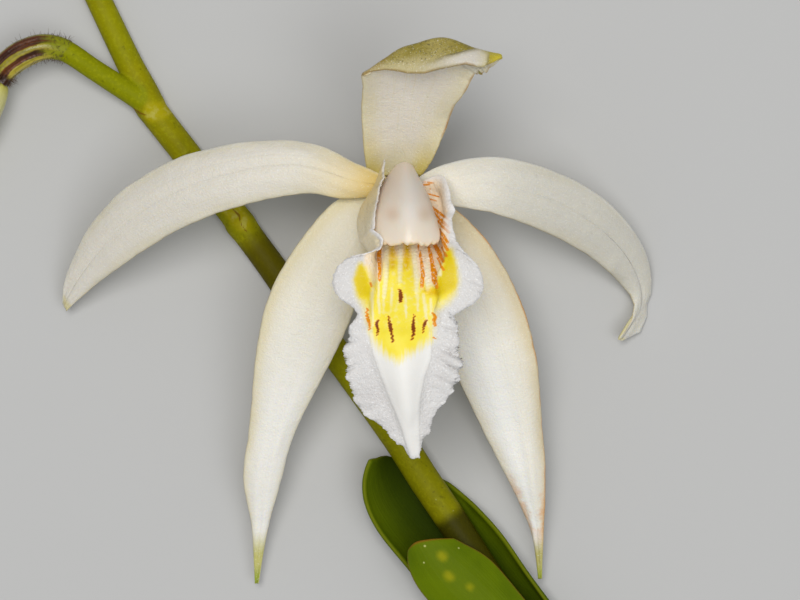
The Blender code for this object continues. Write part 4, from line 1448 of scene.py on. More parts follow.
@dataclass
class Lip:
    """The lip: side lobes beside the column, flared front lobes, beaded keels and a toothed mid-lobe."""

    rails: Sequence[Rail] = (
        [(6.7, 10.4, 12), (6.2, 11.5, 14.8), (6, 9.4, 16.8), (5.9, 6.3, 18.6), (4.2, 4.8, 19),
         (2.6, 2.6, 18.9), (4.2, 0.7, 19), (3.5, -1.8, 18.6), (3.4, -4.3, 18.4), (4.3, -6.9, 17.7),
         (6.5, -9, 17.2), (8.5, -11, 16.3)],
        [(7.1, 10.2, 11.95), (5.7, 10.4, 13.6), (5.2, 8.4, 15), (5.4, 5.9, 17.2), (5.5, 4.7, 18.4),
         (5.3, 3, 18.6), (5.2, 1, 18.9), (4.6, -2, 18.8), (4.8, -4.3, 18.6), (5.7, -7, 17.9),
         (7.1, -8.9, 17.3), (8.7, -11.1, 16.3)],
        [(7.6, 10, 11.9), (5.5, 9.4, 12.6), (4.6, 7.4, 13.4), (5.2, 5.2, 15.4), (6.1, 3.9, 16.9),
         (6.1, 2, 17.5), (5.8, 0.2, 18.4), (5.6, -2.2, 18.8), (6.2, -4.4, 18.7), (7.1, -6.9, 18),
         (7.8, -8.8, 17.4), (8.8, -11.1, 16.3)],
        [(8.1, 10, 11.9), (8, 9.1, 12.3), (8, 7.2, 13.5), (8, 5, 15.4), (8, 3.4, 16.8), (8, 1.5, 17.9),
         (8, -0.2, 18.7), (8, -2.3, 19.4), (8, -4.6, 19.4), (8.3, -7.1, 18.6), (8.4, -9, 17.5),
         (8.9, -11.2, 16.3)],
        [(8.6, 10, 11.9), (10.6, 9.4, 12.6), (11.4, 7.4, 13.4), (11.4, 5.2, 15.4), (11, 3.7, 16.8),
         (10.6, 1.8, 17.8), (10.3, 0.1, 18.4), (10.2, -2.2, 18.8), (9.7, -4.4, 18.7), (9.4, -6.9, 18),
         (9.1, -8.8, 17.4), (9, -11.1, 16.3)],
        [(9, 10.3, 11.95), (10.9, 10.3, 13.4), (11.3, 8.4, 15.1), (11.3, 6.4, 17), (11.6, 5.1, 18),
         (11.2, 3.2, 18.4), (10.9, 1, 18.8), (11.4, -2, 18.7), (11.2, -4.3, 18.6), (10.5, -6.8, 17.8),
         (9.7, -8.8, 17.3), (9.1, -11.1, 16.3)],
        [(9.4, 10.5, 12), (11.4, 11, 13.9), (12, 8.8, 15.8), (12.4, 6.7, 17.7), (13.3, 4.6, 18.9),
         (14.5, 2.3, 18.8), (11.9, 0, 18.9), (12.6, -1.9, 18.5), (12.5, -4.1, 18.3), (11.4, -6.5, 17.7),
         (10.2, -8.8, 17.2), (9.3, -11, 16.3)],
    )
    left_margin: Outline = Outline(
        ((0.06, -1.24, 11.32), (0.09, -1.36, 10.4), (0.112, -1.26, 9.92), (0.13, -1.56, 9.44),
         (0.155, -1.7, 8.8), (0.18, -1.84, 8), (0.205, -1.95, 7.2), (0.225, -2.05, 6.56),
         (0.242, -2.13, 5.96), (0.25, -2.24, 5.64), (0.262, -1.76, 5.44), (0.27, -1.44, 5.16),
         (0.28, -1.36, 4.84), (0.296, -1.48, 4.4), (0.31, -1.8, 4.08), (0.325, -2.4, 3.82),
         (0.345, -3.12, 3.62), (0.364, -3.68, 3.52), (0.392, -4.48, 3.2), (0.418, -5.08, 2.64),
         (0.438, -5.4, 2), (0.46, -5.48, 1.28), (0.488, -5.2, 0.56), (0.508, -4.72, 0),
         (0.532, -4.08, -0.4), (0.55, -3.68, -0.72), (0.568, -3.44, -1.18), (0.585, -3.68, -1.6),
         (0.607, -4.12, -2.16), (0.642, -4.34, -3.2), (0.675, -4.61, -4.16), (0.706, -4.44, -5.04),
         (0.742, -4.42, -6.08), (0.778, -3.97, -7.1), (0.81, -3.78, -7.97), (0.845, -3.18, -8.88),
         (0.885, -2, -9.76), (0.914, -1.17, -10.48), (0.95, -0.34, -11.55), (0.97, 0.35, -11.6),
         (0.985, 0.67, -12.06), (1, 1.12, -12.48)),
        softness=1.4, teeth=0.24, early=0.45, seed=11,
    )
    right_margin: Outline = Outline(
        ((0.095, 3.68, 9.76), (0.13, 3.92, 9.04), (0.175, 4.12, 7.92), (0.205, 4.48, 7.2),
         (0.232, 4.16, 6.56), (0.27, 4.28, 5.68), (0.31, 4.56, 4.8), (0.352, 5.2, 3.8),
         (0.376, 5.84, 3.24), (0.398, 6.32, 2.64), (0.427, 6.64, 1.84), (0.457, 6.76, 1.04),
         (0.486, 6.48, 0.24), (0.505, 5.92, -0.32), (0.525, 5.2, -0.72), (0.542, 4.48, -1.16),
         (0.552, 4.24, -1.36), (0.58, 4.64, -1.92), (0.627, 4.76, -2.88), (0.682, 4.8, -4.32),
         (0.705, 5.17, -4.88), (0.75, 4.8, -6), (0.8, 4.34, -7.28), (0.83, 3.6, -8.16),
         (0.865, 2.88, -8.96), (0.892, 2.64, -9.84), (0.925, 2.46, -10.68), (0.95, 1.78, -11.04),
         (0.97, 1.73, -11.52), (1, 1.5, -12.48)),
        softness=1.4, teeth=0.24, seed=12,
    )
    rows: int = 420
    columns: int = 108
    thickness: float = 0.3
    rounding: float = 0.5
    orange: tuple[Stroke, ...] = (
        *strokes(
            ((-1.6, 4.37, 0.13), (-1.68, 3.52, 0.15), (-1.7, 2.48, 0.14), (-1.68, 1.6, 0.08)),
            ((1.44, 4.37, 0.08), (1.62, 3.5, 0.12), (1.74, 2.81, 0.12), (1.83, 2.02, 0.16),
             (1.74, 1.07, 0.13)),
            ((2.26, 4.37, 0.1), (2.4, 3.76, 0.14), (2.57, 2.9, 0.14), (2.66, 2.46, 0.18),
             (2.83, 1.6, 0.26), (3.04, 1.07, 0.14)),
            ((2.66, 4.58, 0.18), (3.1, 3.8, 0.19), (3.52, 3.06, 0.13)),
            ((3.01, 3.33, 0.09), (3.52, 2.38, 0.1)), ((3.31, 4.28, 0.08), (3.78, 3.5, 0.11)),
            ((3.35, 4.89, 0.11), (3.87, 4.02, 0.13)),
            ((3.2, 5.6, 0.1), (3.52, 5.15, 0.12), (3.87, 4.62, 0.12)),
            ((3.05, 6.25, 0.09), (3.95, 5.38, 0.11)),
            ((2.74, 6.88, 0.1), (3.35, 6.36, 0.12), (3.99, 5.74, 0.1)),
            ((2.44, 7.49, 0.11), (3.26, 6.88, 0.12), (3.98, 6.34, 0.08)),
            ((2.18, 8.1, 0.08), (2.92, 7.92, 0.05)), ((2.05, 8.53, 0.08), (3.18, 8.27, 0.05)),
            ((1.83, 9.22, 0.08), (2.4, 9.27, 0.06)), ((1.7, 9.49, 0.07), (2.74, 9.36, 0.05)),
            ((2.44, 8.92, 0.05), (2.46, 8.9, 0.05)), ((2, 8.88, 0.04), (2.02, 8.86, 0.04)),
            ((-1.04, 9.49, 0.06), (-1.76, 8, 0.09)), ((2.6, -3.01, 0.07), (2.87, -3.1, 0.05)),
            ((-2.48, 1.36, 0.08), (-2.4, 1.1, 0.06)),
        ),
        Stroke(((-2.66, -0.67, 0.05), (-2.66, -1.41, 0.08), (-2.5, -1.86, 0.08), (-2.45, -2.42, 0.06)),
                0.09, 3),
        Stroke(((2.72, -1.08, 0.06), (2.9, -1.41, 0.07), (2.76, -1.68, 0.07), (2.86, -2.14, 0.05)),
                0.14, 4),
    )
    brown: tuple[Stroke, ...] = (
        Stroke(((-0.04, 0.8, 0.04), (0.08, 0.25, 0.1), (0.04, -0.25, 0.04)), 0.11, 1),
        Stroke(((-0.89, -1.35, 0.05), (-0.78, -2.05, 0.09), (-0.66, -2.6, 0.09), (-0.52, -3.42, 0.05)),
                0.1, 2),
        Stroke(((1.13, -1.2, 0.04), (1.02, -1.95, 0.09), (1.06, -2.5, 0.09), (0.9, -3.24, 0.05)), 0.1, 5),
        Stroke(((-1.67, -1.62, 0.04), (-1.86, -1.95, 0.07), (-1.74, -2.37, 0.07), (-1.81, -2.87, 0.04)),
                0.09, 6),
        Stroke(((2.14, -1.62, 0.04), (1.91, -2.05, 0.07), (1.82, -2.69, 0.04)), 0.09, 7),
    )
    gold: tuple[Patch, ...] = (
        Patch(((-2.7, 2.4), (-2.35, 1.2), (-1.6, 1.8), (-0.95, 3.4), (0.9, 3.4), (1.4, 1.6), (2.9, 0.9),
               (3.45, 2.4), (3.75, 3.8), (4.05, 4), (4.35, 3), (4.55, 1.6), (4.35, 0.5), (3.6, -0.3),
               (2.85, -0.8), (2.65, -2), (2.45, -3.1), (1.6, -3.6), (0.5, -4.4), (-0.2, -4.9),
               (-1.2, -4.2), (-2, -3.2), (-2.45, -2.3), (-2.75, -0.7), (-3.3, 0.4), (-3.5, 1.5),
               (-3.2, 2.6))),
    )
    side: tuple[Stroke, ...] = strokes(
        ((-3.15, 3, 0.1), (-3.2, 1.7, 0.5), (-3, 0.6, 0.4)),
        ((4, 3.9, 0.1), (4, 2.6, 0.5), (3.8, 1.4, 0.7), (3.1, 0.7, 0.4)),
    )
    olive: tuple[Patch | Stroke, ...] = strokes(
        ((-0.72, 4.7, 0.24), (-0.62, 3.6, 0.26), (-0.6, 2.6, 0.14)),
        ((0.55, 4.7, 0.28), (0.55, 3.6, 0.28), (0.5, 2.6, 0.16)),
        ((1.75, 1, 0.1), (2.4, 0.5, 0.16), (2.9, 0.6, 0.16)),
    )
    pale: tuple[Stroke, ...] = strokes(
        # The first stroke is painted light: pale cream laid in the shaded gap between the left side lobe and
        # the column.
        ((-1, 10.2, 0.2), (-1.45, 9, 0.22), (-1.8, 7.6, 0.2), (-1.9, 6.4, 0.1)),
        ((2.98, 3, 0.1), (3.2, 2.5, 0.16), (3.28, 2, 0.12)),
        ((0.4, 0.4, 0.05), (0.46, -0.6, 0.09), (0.5, -1.5, 0.03)),
        ((-0.62, 0.9, 0.05), (-0.66, -0.1, 0.09), (-0.7, -1, 0.03)),
        ((0.02, 4.6, 0.15), (0.02, 3.4, 0.15), (0, 2.3, 0.14), (0, 1.4, 0.08)),
        ((-1.15, 4.5, 0.15), (-1.1, 3, 0.15), (-1.15, 1.6, 0.13), (-1.3, 0.2, 0.1), (-1.3, -0.9, 0.05)),
        ((1.05, 4.5, 0.15), (1.2, 3, 0.16), (1.32, 1.8, 0.15), (1.34, 0.6, 0.11), (1.45, -0.9, 0.05)),
        ((2.15, 2.8, 0.12), (2.25, 1.6, 0.16), (2.2, 0.8, 0.1)),
        ((-2.3, 0.9, 0.1), (-2.38, 0, 0.14), (-2.25, -1.2, 0.12), (-2.15, -2.1, 0.06)),
        ((-1.78, 1.5, 0.1), (-1.78, 0.3, 0.12), (-1.62, -1.1, 0.07)),
        ((1.85, 0.4, 0.1), (1.98, -0.4, 0.14), (2.05, -1.3, 0.1), (2.3, -2.2, 0.05)),
        ((2.45, 0, 0.1), (2.5, -0.6, 0.12), (2.45, -1.2, 0.06)),
    )
    blush: tuple[Patch, ...] = (
        Patch(((-2.8, 4.6), (-2.95, 2.6), (-2.55, 1.3), (-1.5, 1.9), (-1.2, 2.6), (0, 2.8), (1.2, 2.6),
               (1.5, 1.5), (2.6, 1.2), (3.1, 1), (3.65, 2.6), (3.95, 4.6), (4, 6.6), (3.85, 8.8),
               (3.4, 10.2), (1.2, 10.4), (-1.2, 10.2), (-2.1, 8.6))),
    )
    pearl: tuple[Patch, ...] = (
        Patch(((-2.45, -2.6), (-2.08, -4.34), (-1.26, -6.54), (-0.52, -8.38), (0.22, -10.22),
               (0.9, -12.7), (1.6, -12.7), (1.46, -9.76), (1.5, -8.02), (1.86, -6.18), (2.42, -4.71),
               (2.55, -2.6))),
    )
    keels: tuple[Stroke, ...] = strokes(
        ((-1.72, 4.8, 0.12), (-1.68, 3.52, 0.16), (-1.7, 2.48, 0.16), (-1.68, 1.6, 0.08)),
        ((-1.12, 4.8, 0.14), (-1.1, 3, 0.16), (-1.12, 1.6, 0.13), (-1.25, 0.2, 0.06)),
        ((0.04, 4.8, 0.18), (0.02, 3.4, 0.2), (0, 2.3, 0.18), (0, 1.2, 0.1)),
        ((1.05, 4.8, 0.14), (1.2, 3, 0.15), (1.32, 1.8, 0.13), (1.28, 0.6, 0.08)),
        ((1.44, 4.8, 0.1), (1.62, 3.5, 0.13), (1.8, 2.4, 0.16), (1.74, 1.07, 0.1)),
        ((2.26, 4.8, 0.12), (2.5, 3.3, 0.18), (2.7, 2.3, 0.22), (2.95, 1.07, 0.16)),
        ((2.1, 4, 0.06), (2.2, 2.6, 0.12), (2.25, 1.6, 0.12), (2.2, 0.6, 0.08)),
    )
    keel_height: float = 0.22
    creases: tuple[tuple[Place, Place, float], ...] = (
        ((2.6, -3.4), (5, -4.8), 0.2), ((2.5, -4.5), (4.8, -5.75), 0.26), ((2.2, -5.9), (4.4, -6.9), 0.1),
        ((2.8, -2.2), (4.9, -2.6), 0.14), ((-2.6, -4.6), (-4.6, -5.9), 0.12),
        ((-2.8, -2.9), (-4.7, -3.6), 0.1),
    )
    bead_pitch: float = 0.016
    frill: float = 0.17
    fine_frill: float = 0.05
    pearl_height: float = 0.2
    crease_width: float = 0.4

    def frills(self, sheet: Sheet) -> Array:
        """The waves of the margins, strongest on the mid-lobe.

        Args:
            sheet: The lip's surface.

        Returns:
            How far they stand out at each point.
        """
        along, outer = sheet.along, np.abs(2 * sheet.across - 1)
        places = along + np.where(sheet.across > 0.5, 5.1, 0.0)
        waves = self.frill * outer**7 * wobble(places, 41, 0.05)
        waves += self.fine_frill * outer**12 * wobble(places, 42, 0.02, 4)
        waves *= ramp(along, 0.06, 0.14) * (1 - 0.8 * ramp(along, 0.88, 1.0))
        return waves * (0.45 + 0.55 * ramp(along, 0.5, 0.62))

    def shape(self) -> Sheet:
        """The lip's surface, with teeth in its margin, keels on its floor and folds in its blades.

        Returns:
            The surface.
        """
        sheet = Sheet(self.rails, self.rows, self.columns)
        self.left_margin.pull(sheet, False)
        self.right_margin.pull(sheet, True)
        along, places = sheet.along, FRONT.plan(sheet.grid)
        beads = 0.6 + 0.4 * np.abs(wobble(along + 0.3 * sheet.across, 31, self.bead_pitch, 3))
        height = self.keel_height * beads * ramp(deepest(self.keels, places), -0.12, 0.12)
        height += self.frills(sheet)
        height += self.pearl_height * ramp(deepest(self.pearl, places), -0.5, 0.35) * ramp(along, 0.45, 0.75)
        for start, end, depth in self.creases:
            distance, share = segment_distances(places, np.array([start, end]))
            fold = 0.5 * hump(distance - 0.45, self.crease_width) - hump(distance, self.crease_width)
            height += depth * fold * ramp(share, 0.0, 0.7)
        sheet.raise_by(height)
        return sheet

    def build(self) -> list[Object]:
        """The lip, painted and set on the plant.

        Returns:
            The one piece.
        """
        sheet = self.shape()
        places = FRONT.plan(sheet.grid)
        marks = {
            "orange": self.orange, "brown": self.brown, "gold": self.gold, "olive": self.olive,
            "pale": self.pale, "side": self.side, "keel": self.keels, "blush": self.blush,
            "pearl": self.pearl,
        }
        values = {name: deepest(group, places) for name, group in marks.items()}
        values["low"] = 0.2 + 0.8 * ramp(places[..., 1], -1.4, -3.2)
        thickness = self.thickness * (0.5 + 0.5 * ramp(sheet.along, 0.3, 0.5))
        piece = sheet.closed(thickness, self.rounding, **values).build("lip_blade", LipFinish().material())
        return [place_piece(piece, Slot.LIP, "lip")]


@dataclass
class Column:
    """The column: an arched hood with a scalloped front edge, over its small anther cap."""

    rails: Sequence[Rail] = (
        [(7.55, 11.69, 12.9), (6.92, 10.88, 13.4), (6.28, 9.75, 14.2), (5.82, 8.46, 15.2),
         (5.72, 7.01, 16.4), (6.1, 5.82, 17.4)],
        [(7.8, 11.84, 13.2), (7.4, 11.01, 14.2), (7.09, 9.87, 15.6), (6.86, 8.57, 16.8),
         (6.74, 7.15, 17.6), (6.94, 5.57, 18.2)],
        [(8.16, 11.96, 13.3), (8.19, 11.07, 14.8), (8.27, 9.84, 16.5), (8.35, 8.55, 17.8),
         (8.42, 7.13, 18.5), (8.5, 5.64, 18.8)],
        [(8.51, 11.84, 13.2), (8.83, 10.97, 14.3), (9.22, 9.82, 15.8), (9.6, 8.53, 17),
         (9.91, 7.14, 17.8), (9.99, 5.57, 18.3)],
        [(8.71, 11.69, 12.9), (9.15, 10.84, 13.5), (9.7, 9.74, 14.3), (10.21, 8.45, 15.3),
         (10.67, 7.01, 16.5), (10.89, 5.9, 17.5)],
    )
    rows: int = 110
    columns: int = 90
    thickness: float = 0.45
    rounding: float = 0.25
    scallop: float = 0.15
    scallops: float = 5.0
    crest_height: float = 0.05
    dimples: tuple[Place, ...] = ((-0.56, 6.84), (1.94, 6.8))
    dimple_width: float = 1.0
    dimple_depth: float = 0.08
    cap_turns: int = 48
    cap_rises: int = 25
    cap_ridge: float = 0.12

    def build_hood(self) -> Object:
        """The hood, set on the plant.

        Returns:
            The piece.
        """
        sheet = Sheet(self.rails, self.rows, self.columns)
        along, across, places = sheet.along, sheet.across, FRONT.plan(sheet.grid)
        away = [np.linalg.norm(places - np.array(dimple), axis=-1) for dimple in self.dimples]
        dimple = hump(np.min(away, axis=0), self.dimple_width)
        lobes = np.abs(np.sin(np.pi * (across * self.scallops + 0.15 * wobble(across, 51, 0.3))))
        lobes += 0.35 * wobble(across, 52, 0.07, 4)
        sheet.grid[..., 1] -= self.scallop * lobes * ramp(along, 0.93, 1.0)
        crest = self.crest_height * hump(across - 0.56, 0.2) * along
        sheet.raise_by(crest - self.dimple_depth * dimple)
        # Where the painted highlight lies: a broad band down the crest.
        light = hump(places[..., 0] - 0.8, 1.2) * ramp(along, 0.02, 0.4) * ramp(along, 0.95, 0.7)
        body = sheet.closed(self.thickness, self.rounding, light=light, dimple=dimple)
        return place_piece(body.build("column_hood", ColumnFinish().material()), Slot.COLUMN, "column")

    def build_cap(self) -> Object:
        """The anther cap: a small ridged beak under the hood's front edge.

        Returns:
            The piece, as large as its solid.
        """
        lowest, highest = (np.array(corner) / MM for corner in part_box("anther_cap"))
        half = (highest - lowest) / 2
        turns, rises = np.meshgrid(
            np.linspace(0, 2 * np.pi, self.cap_turns, endpoint=False), np.linspace(0, np.pi, self.cap_rises)
        )
        ridge = 1 - self.cap_ridge * hump(np.sin(turns), 0.35)
        ball = [np.cos(turns) * np.sin(rises), np.sin(turns) * np.sin(rises) * ridge, np.cos(rises) * ridge]
        points = np.stack(ball, axis=-1).reshape(-1, 3) * half + lowest + half
        numbers = np.arange(turns.size).reshape(turns.shape)
        after = np.roll(numbers, -1, axis=1)
        faces = np.stack([numbers[:-1], numbers[1:], after[1:], after[:-1]], axis=-1).reshape(-1, 4)
        cap = Body(points, faces).build("anther_cap_beak", AntherFinish().material())
        return place_piece(cap, Slot.ANTHER, "anther_cap")

    def build(self) -> list[Object]:
        """The hood and the anther cap."""
        return [self.build_hood(), self.build_cap()]


@dataclass
class Stalks:
    """The flowering stem with its two flower stalks, grown together into one body.

    The places of the painted shadow under the bloom, of the darkening lower down and of the foot are numbers
    of the stem's stations, with their fractions.
    """

    stem: Sequence[Station] = (
        (-22.6, 37.2, 0.8, 0.6), (-19.8, 31.6, 0.9, 0.95), (-17.1, 26, 0.97, 1.05), (-14.7, 21, 1, 1.1),
        (-13.4, 18.5, 1.08, 1.18), (-12.9, 17.3, 1.15, 1.3), (-12, 16, 1.1, 1.2), (-6.2, 8.6, 1.08, 1.18),
        (-5.4, 7.5, 1.15, 1.28), (-4.6, 6.4, 1.08, 1.18), (-2.4, 3.4, 1, 1.2), (0, 0, 1.05, 1.34),
        (1.5, -1.9, 1, 1.25), (3.7, -4.8, 1.25, 1.25), (7.6, -10.2, 1.95, 1.28), (9.8, -13.6, 2.3, 1.3),
        (11.9, -16.7, 2.45, 1.3), (14.2, -20.3, 2.65, 1.3), (16.5, -23.7, 2.85, 1.3),
        (19.7, -28.4, 3.1, 1.27), (23.4, -33.8, 3.2, 1.22),
    )
    bud_stalk: Sequence[Station] = (
        (-12.7, 16.9, 1.3, 0.9), (-14, 18, 1.5, 0.95), (-15.9, 19.2, 2.2, 0.9), (-17.6, 20.3, 2.9, 0.88),
        (-18.9, 21.2, 3.4, 0.9), (-19.8, 21.7, 3.5, 0.92),
    )
    flower_stalk: Sequence[Station] = (
        (0.2, -0.3, 1.3, 0.95), (1.2, 0.9, 2.2, 0.95), (2.7, 2.6, 3.6, 0.92), (3.8, 4.1, 4.6, 0.92),
        (4.5, 5.1, 5.3, 0.97), (4.75, 5.45, 5.5, 1),
    )
    flushes: tuple[tuple[Place, Place], ...] = (
        ((-12.6, 16.6), (-11.4, 17.1)), ((-6.2, 8.8), (-5.2, 7.6)), ((0, 0.4), (1, -1)),
    )
    cracks: tuple[Stroke, ...] = strokes(
        ((-21.3, 15.3, 0.03), (-20.8, 14.95, 0.06), (-20.2, 14.75, 0.02)),
        ((-13.5, 7.4, 0.02), (-12.9, 6.8, 0.08), (-12.7, 6, 0.02), (-12.3, 5.5, 0.06)),
        ((-7.9, -0.2, 0.06), (-7.2, -1, 0.06)),
    )
    flush_width: Place = (1.3, 0.2)
    stalk_width: Place = (1.3, 0.8)
    shadow_start: Place = (8.7, 9.4)
    shadow_end: Place = (12.4, 10.6)
    low_darkening: float = 0.3
    low_darkening_start: Place = (12.0, 13.5)
    foot_start: Place = (15.8, 16.1)
    cut_width: Place = (-0.16, -0.06)
    sides: int = 28
    voxel: float = 0.14
    smoothing: int = 4

    def grown(self, material: Material) -> Body:
        """The three tubes as one skin.

        Args:
            material: What covers them.

        Returns:
            One body, without the tubes' inner walls.
        """
        tubes = [Tube(line, self.sides).body() for line in (self.stem, self.bud_stalk, self.flower_stalk)]
        rough = joined(tubes).build("stalks_rough", material)
        remesh = rough.modifiers.new("Skin", "REMESH")
        remesh.mode = "VOXEL"
        remesh.voxel_size = self.voxel * MM
        relax = rough.modifiers.new("Relax", "SMOOTH")
        relax.iterations = self.smoothing
        relax.factor = 0.5
        bpy.context.view_layer.update()
        graph = bpy.context.evaluated_depsgraph_get()
        mesh = bpy.data.meshes.new_from_object(rough.evaluated_get(graph))
        bpy.data.objects.remove(rough)
        points = np.empty(len(mesh.vertices) * 3)
        mesh.vertices.foreach_get("co", points)
        faces = np.array([polygon.vertices[:] for polygon in mesh.polygons])
        bpy.data.meshes.remove(mesh)
        return Body(points.reshape(-1, 3) / MM, faces)

    def paint(self, points: Array) -> dict[str, Array]:
        """The marks on the skin: flushed and scarred nodes, fresh stalks, a painted shadow under the bloom
        and a darkening lower down, cut ends.

        Args:
            points: The skin's points.

        Returns:
            How strong each mark is at each point, named as the material reads it.
        """
        places, plan = points[:, :2], FRONT.plan(points)
        flushed = [segment_distances(places, np.array(flush))[0] for flush in self.flushes]
        lines = (self.stem, self.bud_stalk[1:], self.flower_stalk[1:])
        stem, bud_stalk, flower_stalk = (np.array(line)[:, :2] for line in lines)
        station = segment_distances(places, stem)[1]
        beside_bud_stalk = segment_distances(places, bud_stalk)[0]
        risen = ramp(segment_distances(places, flower_stalk)[0], *self.stalk_width)
        risen *= ramp(points[:, 2], 2.0, 2.6)
        ends = ((stem[0], stem[1]), (stem[-1], stem[-2]))
        past_end = np.max([(places - end) @ unit(end - inner) for end, inner in ends], axis=0)
        # Painted shadow under the bloom, left off the risen flower stalk.
        painted_shadow_and_darkening = ramp(station, *self.shadow_start) * ramp(station, *self.shadow_end) * (1 - risen)
        return {
            "node": ramp(np.min(flushed, axis=0), *self.flush_width),
            "scar": ramp(deepest(self.cracks, plan), -0.16, 0.08),
            "foot": ramp(station, *self.foot_start),
            "painted_shadow_and_darkening": painted_shadow_and_darkening + self.low_darkening * ramp(station, *self.low_darkening_start),
            "fresh": np.maximum(ramp(beside_bud_stalk, *self.stalk_width), risen),
            "cut": ramp(past_end, *self.cut_width),
        }

    def build(self) -> list[Object]:
        """The stalks, painted and set on the surface.

        Returns:
            The one piece.
        """
        material = StemFinish().material()
        body = self.grown(material).above_surface()
        body.values = self.paint(body.points)
        return [place_piece(body.build("stalks", material), Slot.STEM, "scape")]


@dataclass
class Ovaries:
    """The ribbed ovaries behind the bloom and the bud, with brown down on them."""

    bloom: Sequence[Station] = (
        (4.6, 5.1, 5.32, 0.99), (4.8, 5.4, 5.5, 1.0), (6.0, 7.2, 6.6, 1.15), (7.2, 9.0, 7.6, 1.2),
        (7.9, 10.0, 8.8, 1.2), (8.1, 10.3, 10.2, 1.15), (8.1, 10.4, 11.2, 1.15), (8.1, 10.55, 12.0, 1.05),
        (8.1, 10.75, 12.6, 0.8), (8.1, 10.9, 12.9, 0.4),
    )
    bud: Sequence[Station] = (
        (-19.4, 21.55, 3.5, 0.88), (-21.3, 21.95, 3.5, 1.1), (-23.1, 21.4, 3.3, 1.2),
        (-24.5, 20.4, 3.1, 1.15), (-25.15, 19.5, 3.0, 1.05), (-25.55, 18.95, 2.98, 1.1),
    )
    sides: int = 72
    step: float = 0.12
    ribs: int = 6
    rib_depth: float = 0.16
    dark_side: float = 1.1
    ring_start: Place = (0.66, 0.76)
    crown_start: Place = (0.7, 0.86)
    hairs: int = 900
    hair_length: float = 0.5
    hair_radii: tuple[float, ...] = (0.018, 0.015, 0.01, 0.004)
    hair_steps: tuple[float, ...] = (0.0, 0.4, 0.75, 1.0)
    hair_sides: int = 3

    def ribbed(self, turns: Array, shares: Array) -> Array:
        """How far out the ovary's skin is at each turn."""
        depth = self.rib_depth * ramp(shares, 0.02, 0.3)
        return 1 - depth * (0.5 + 0.5 * np.cos(self.ribs * turns)) ** 2

    def painted(self, line: Sequence[Station]) -> Body:
        """One ovary, which knows where its grooves are and which side of it is lit.

        Args:
            line: The ovary's stations.

        Returns:
            The body.
        """
        body = Tube(line, self.sides, self.step, self.ribbed).body()
        turns = body.values["around"] * 2 * np.pi
        side = 0.5 + 0.5 * np.sin(turns + self.dark_side)
        grooves = 0.5 + 0.5 * np.cos(self.ribs * turns)
        body.values["groove"] = grooves * (0.35 + 0.65 * side) + 0.3 * side**4
        body.values["lit"] = 1 - side
        return body

    def build(self) -> list[Object]:
        """Both ovaries and their down.

        Returns:
            The three pieces.
        """
        finish = OvaryFinish().material()
        bloom, bud = self.painted(self.bloom), self.painted(self.bud)
        bloom.values["crown"] = ramp(bloom.values["along"], *self.crown_start)
        bud.values["ring"] = ramp(bud.values["along"], *self.ring_start)
        down = joined([self.tuft(self.bud, 61), self.tuft(self.bloom, 62)])
        return [
            place_piece(bloom.build("flower_ovary_ribs", finish), Slot.OVARY, "flower_ovary"),
            place_piece(bud.build("bud_ovary_ribs", finish), Slot.OVARY, "bud_ovary"),
            place_piece(down.build("down", HairFinish().material()), Slot.OVARY),
        ]

    def tuft(self, line: Sequence[Station], seed: int) -> Body:
        """Fine hairs that stand out all round an ovary, mostly at its ends.

        Args:
            line: The ovary's stations.
            seed: Which tuft it is.

        Returns:
            The hairs as one body.
        """
        dice = np.random.default_rng(seed)
        stations = np.array(line)
        hairs = []
        for _ in range(self.hairs):
            share = dice.choice([dice.beta(1.2, 6), 0.82 - 0.8 * dice.beta(1.2, 9)])
            here, there = through(stations, np.array([share, min(share + 0.02, 1.0)]))
            ahead = unit(there[:3] - here[:3])
            side = unit(np.cross(ahead, UPWARDS))
            turn = dice.uniform(0, 2 * np.pi)
            out = np.cos(turn) * side + np.sin(turn) * np.cross(side, ahead)
            length = self.hair_length * dice.uniform(0.35, 1.0)
            lean = out + ahead * dice.uniform(-0.5, 0.5) + dice.normal(0, 0.2, 3)
            curl = dice.normal(0, 0.35, 3)
            root = here[:3] + out * here[3] * 0.86
            hairs.append(self.hair([root + (lean + curl * t) * length * t for t in self.hair_steps]))
        return joined(hairs)

    def hair(self, path: Sequence[Array]) -> Body:
        """One hair, three-sided and pointed.

        Args:
            path: Places along it, from its root to its tip.

        Returns:
            A closed body of triangles.
        """
        turns = np.linspace(0, 2 * np.pi, self.hair_sides, endpoint=False)
        ring = np.stack([np.cos(turns), np.sin(turns), np.zeros(self.hair_sides)], axis=-1)
        points = np.vstack([middle + radius * ring for middle, radius in zip(path, self.hair_radii)])
        numbers = np.arange(len(points)).reshape(len(path), self.hair_sides)
        after = np.roll(numbers, -1, axis=1)
        walls = [
            np.stack([numbers[:-1], after[:-1], after[1:]], axis=-1),
            np.stack([numbers[:-1], after[1:], numbers[1:]], axis=-1),
        ]
        faces = np.vstack([*np.concatenate(walls), numbers[0, ::-1], numbers[-1]])
        return Body(points, faces)


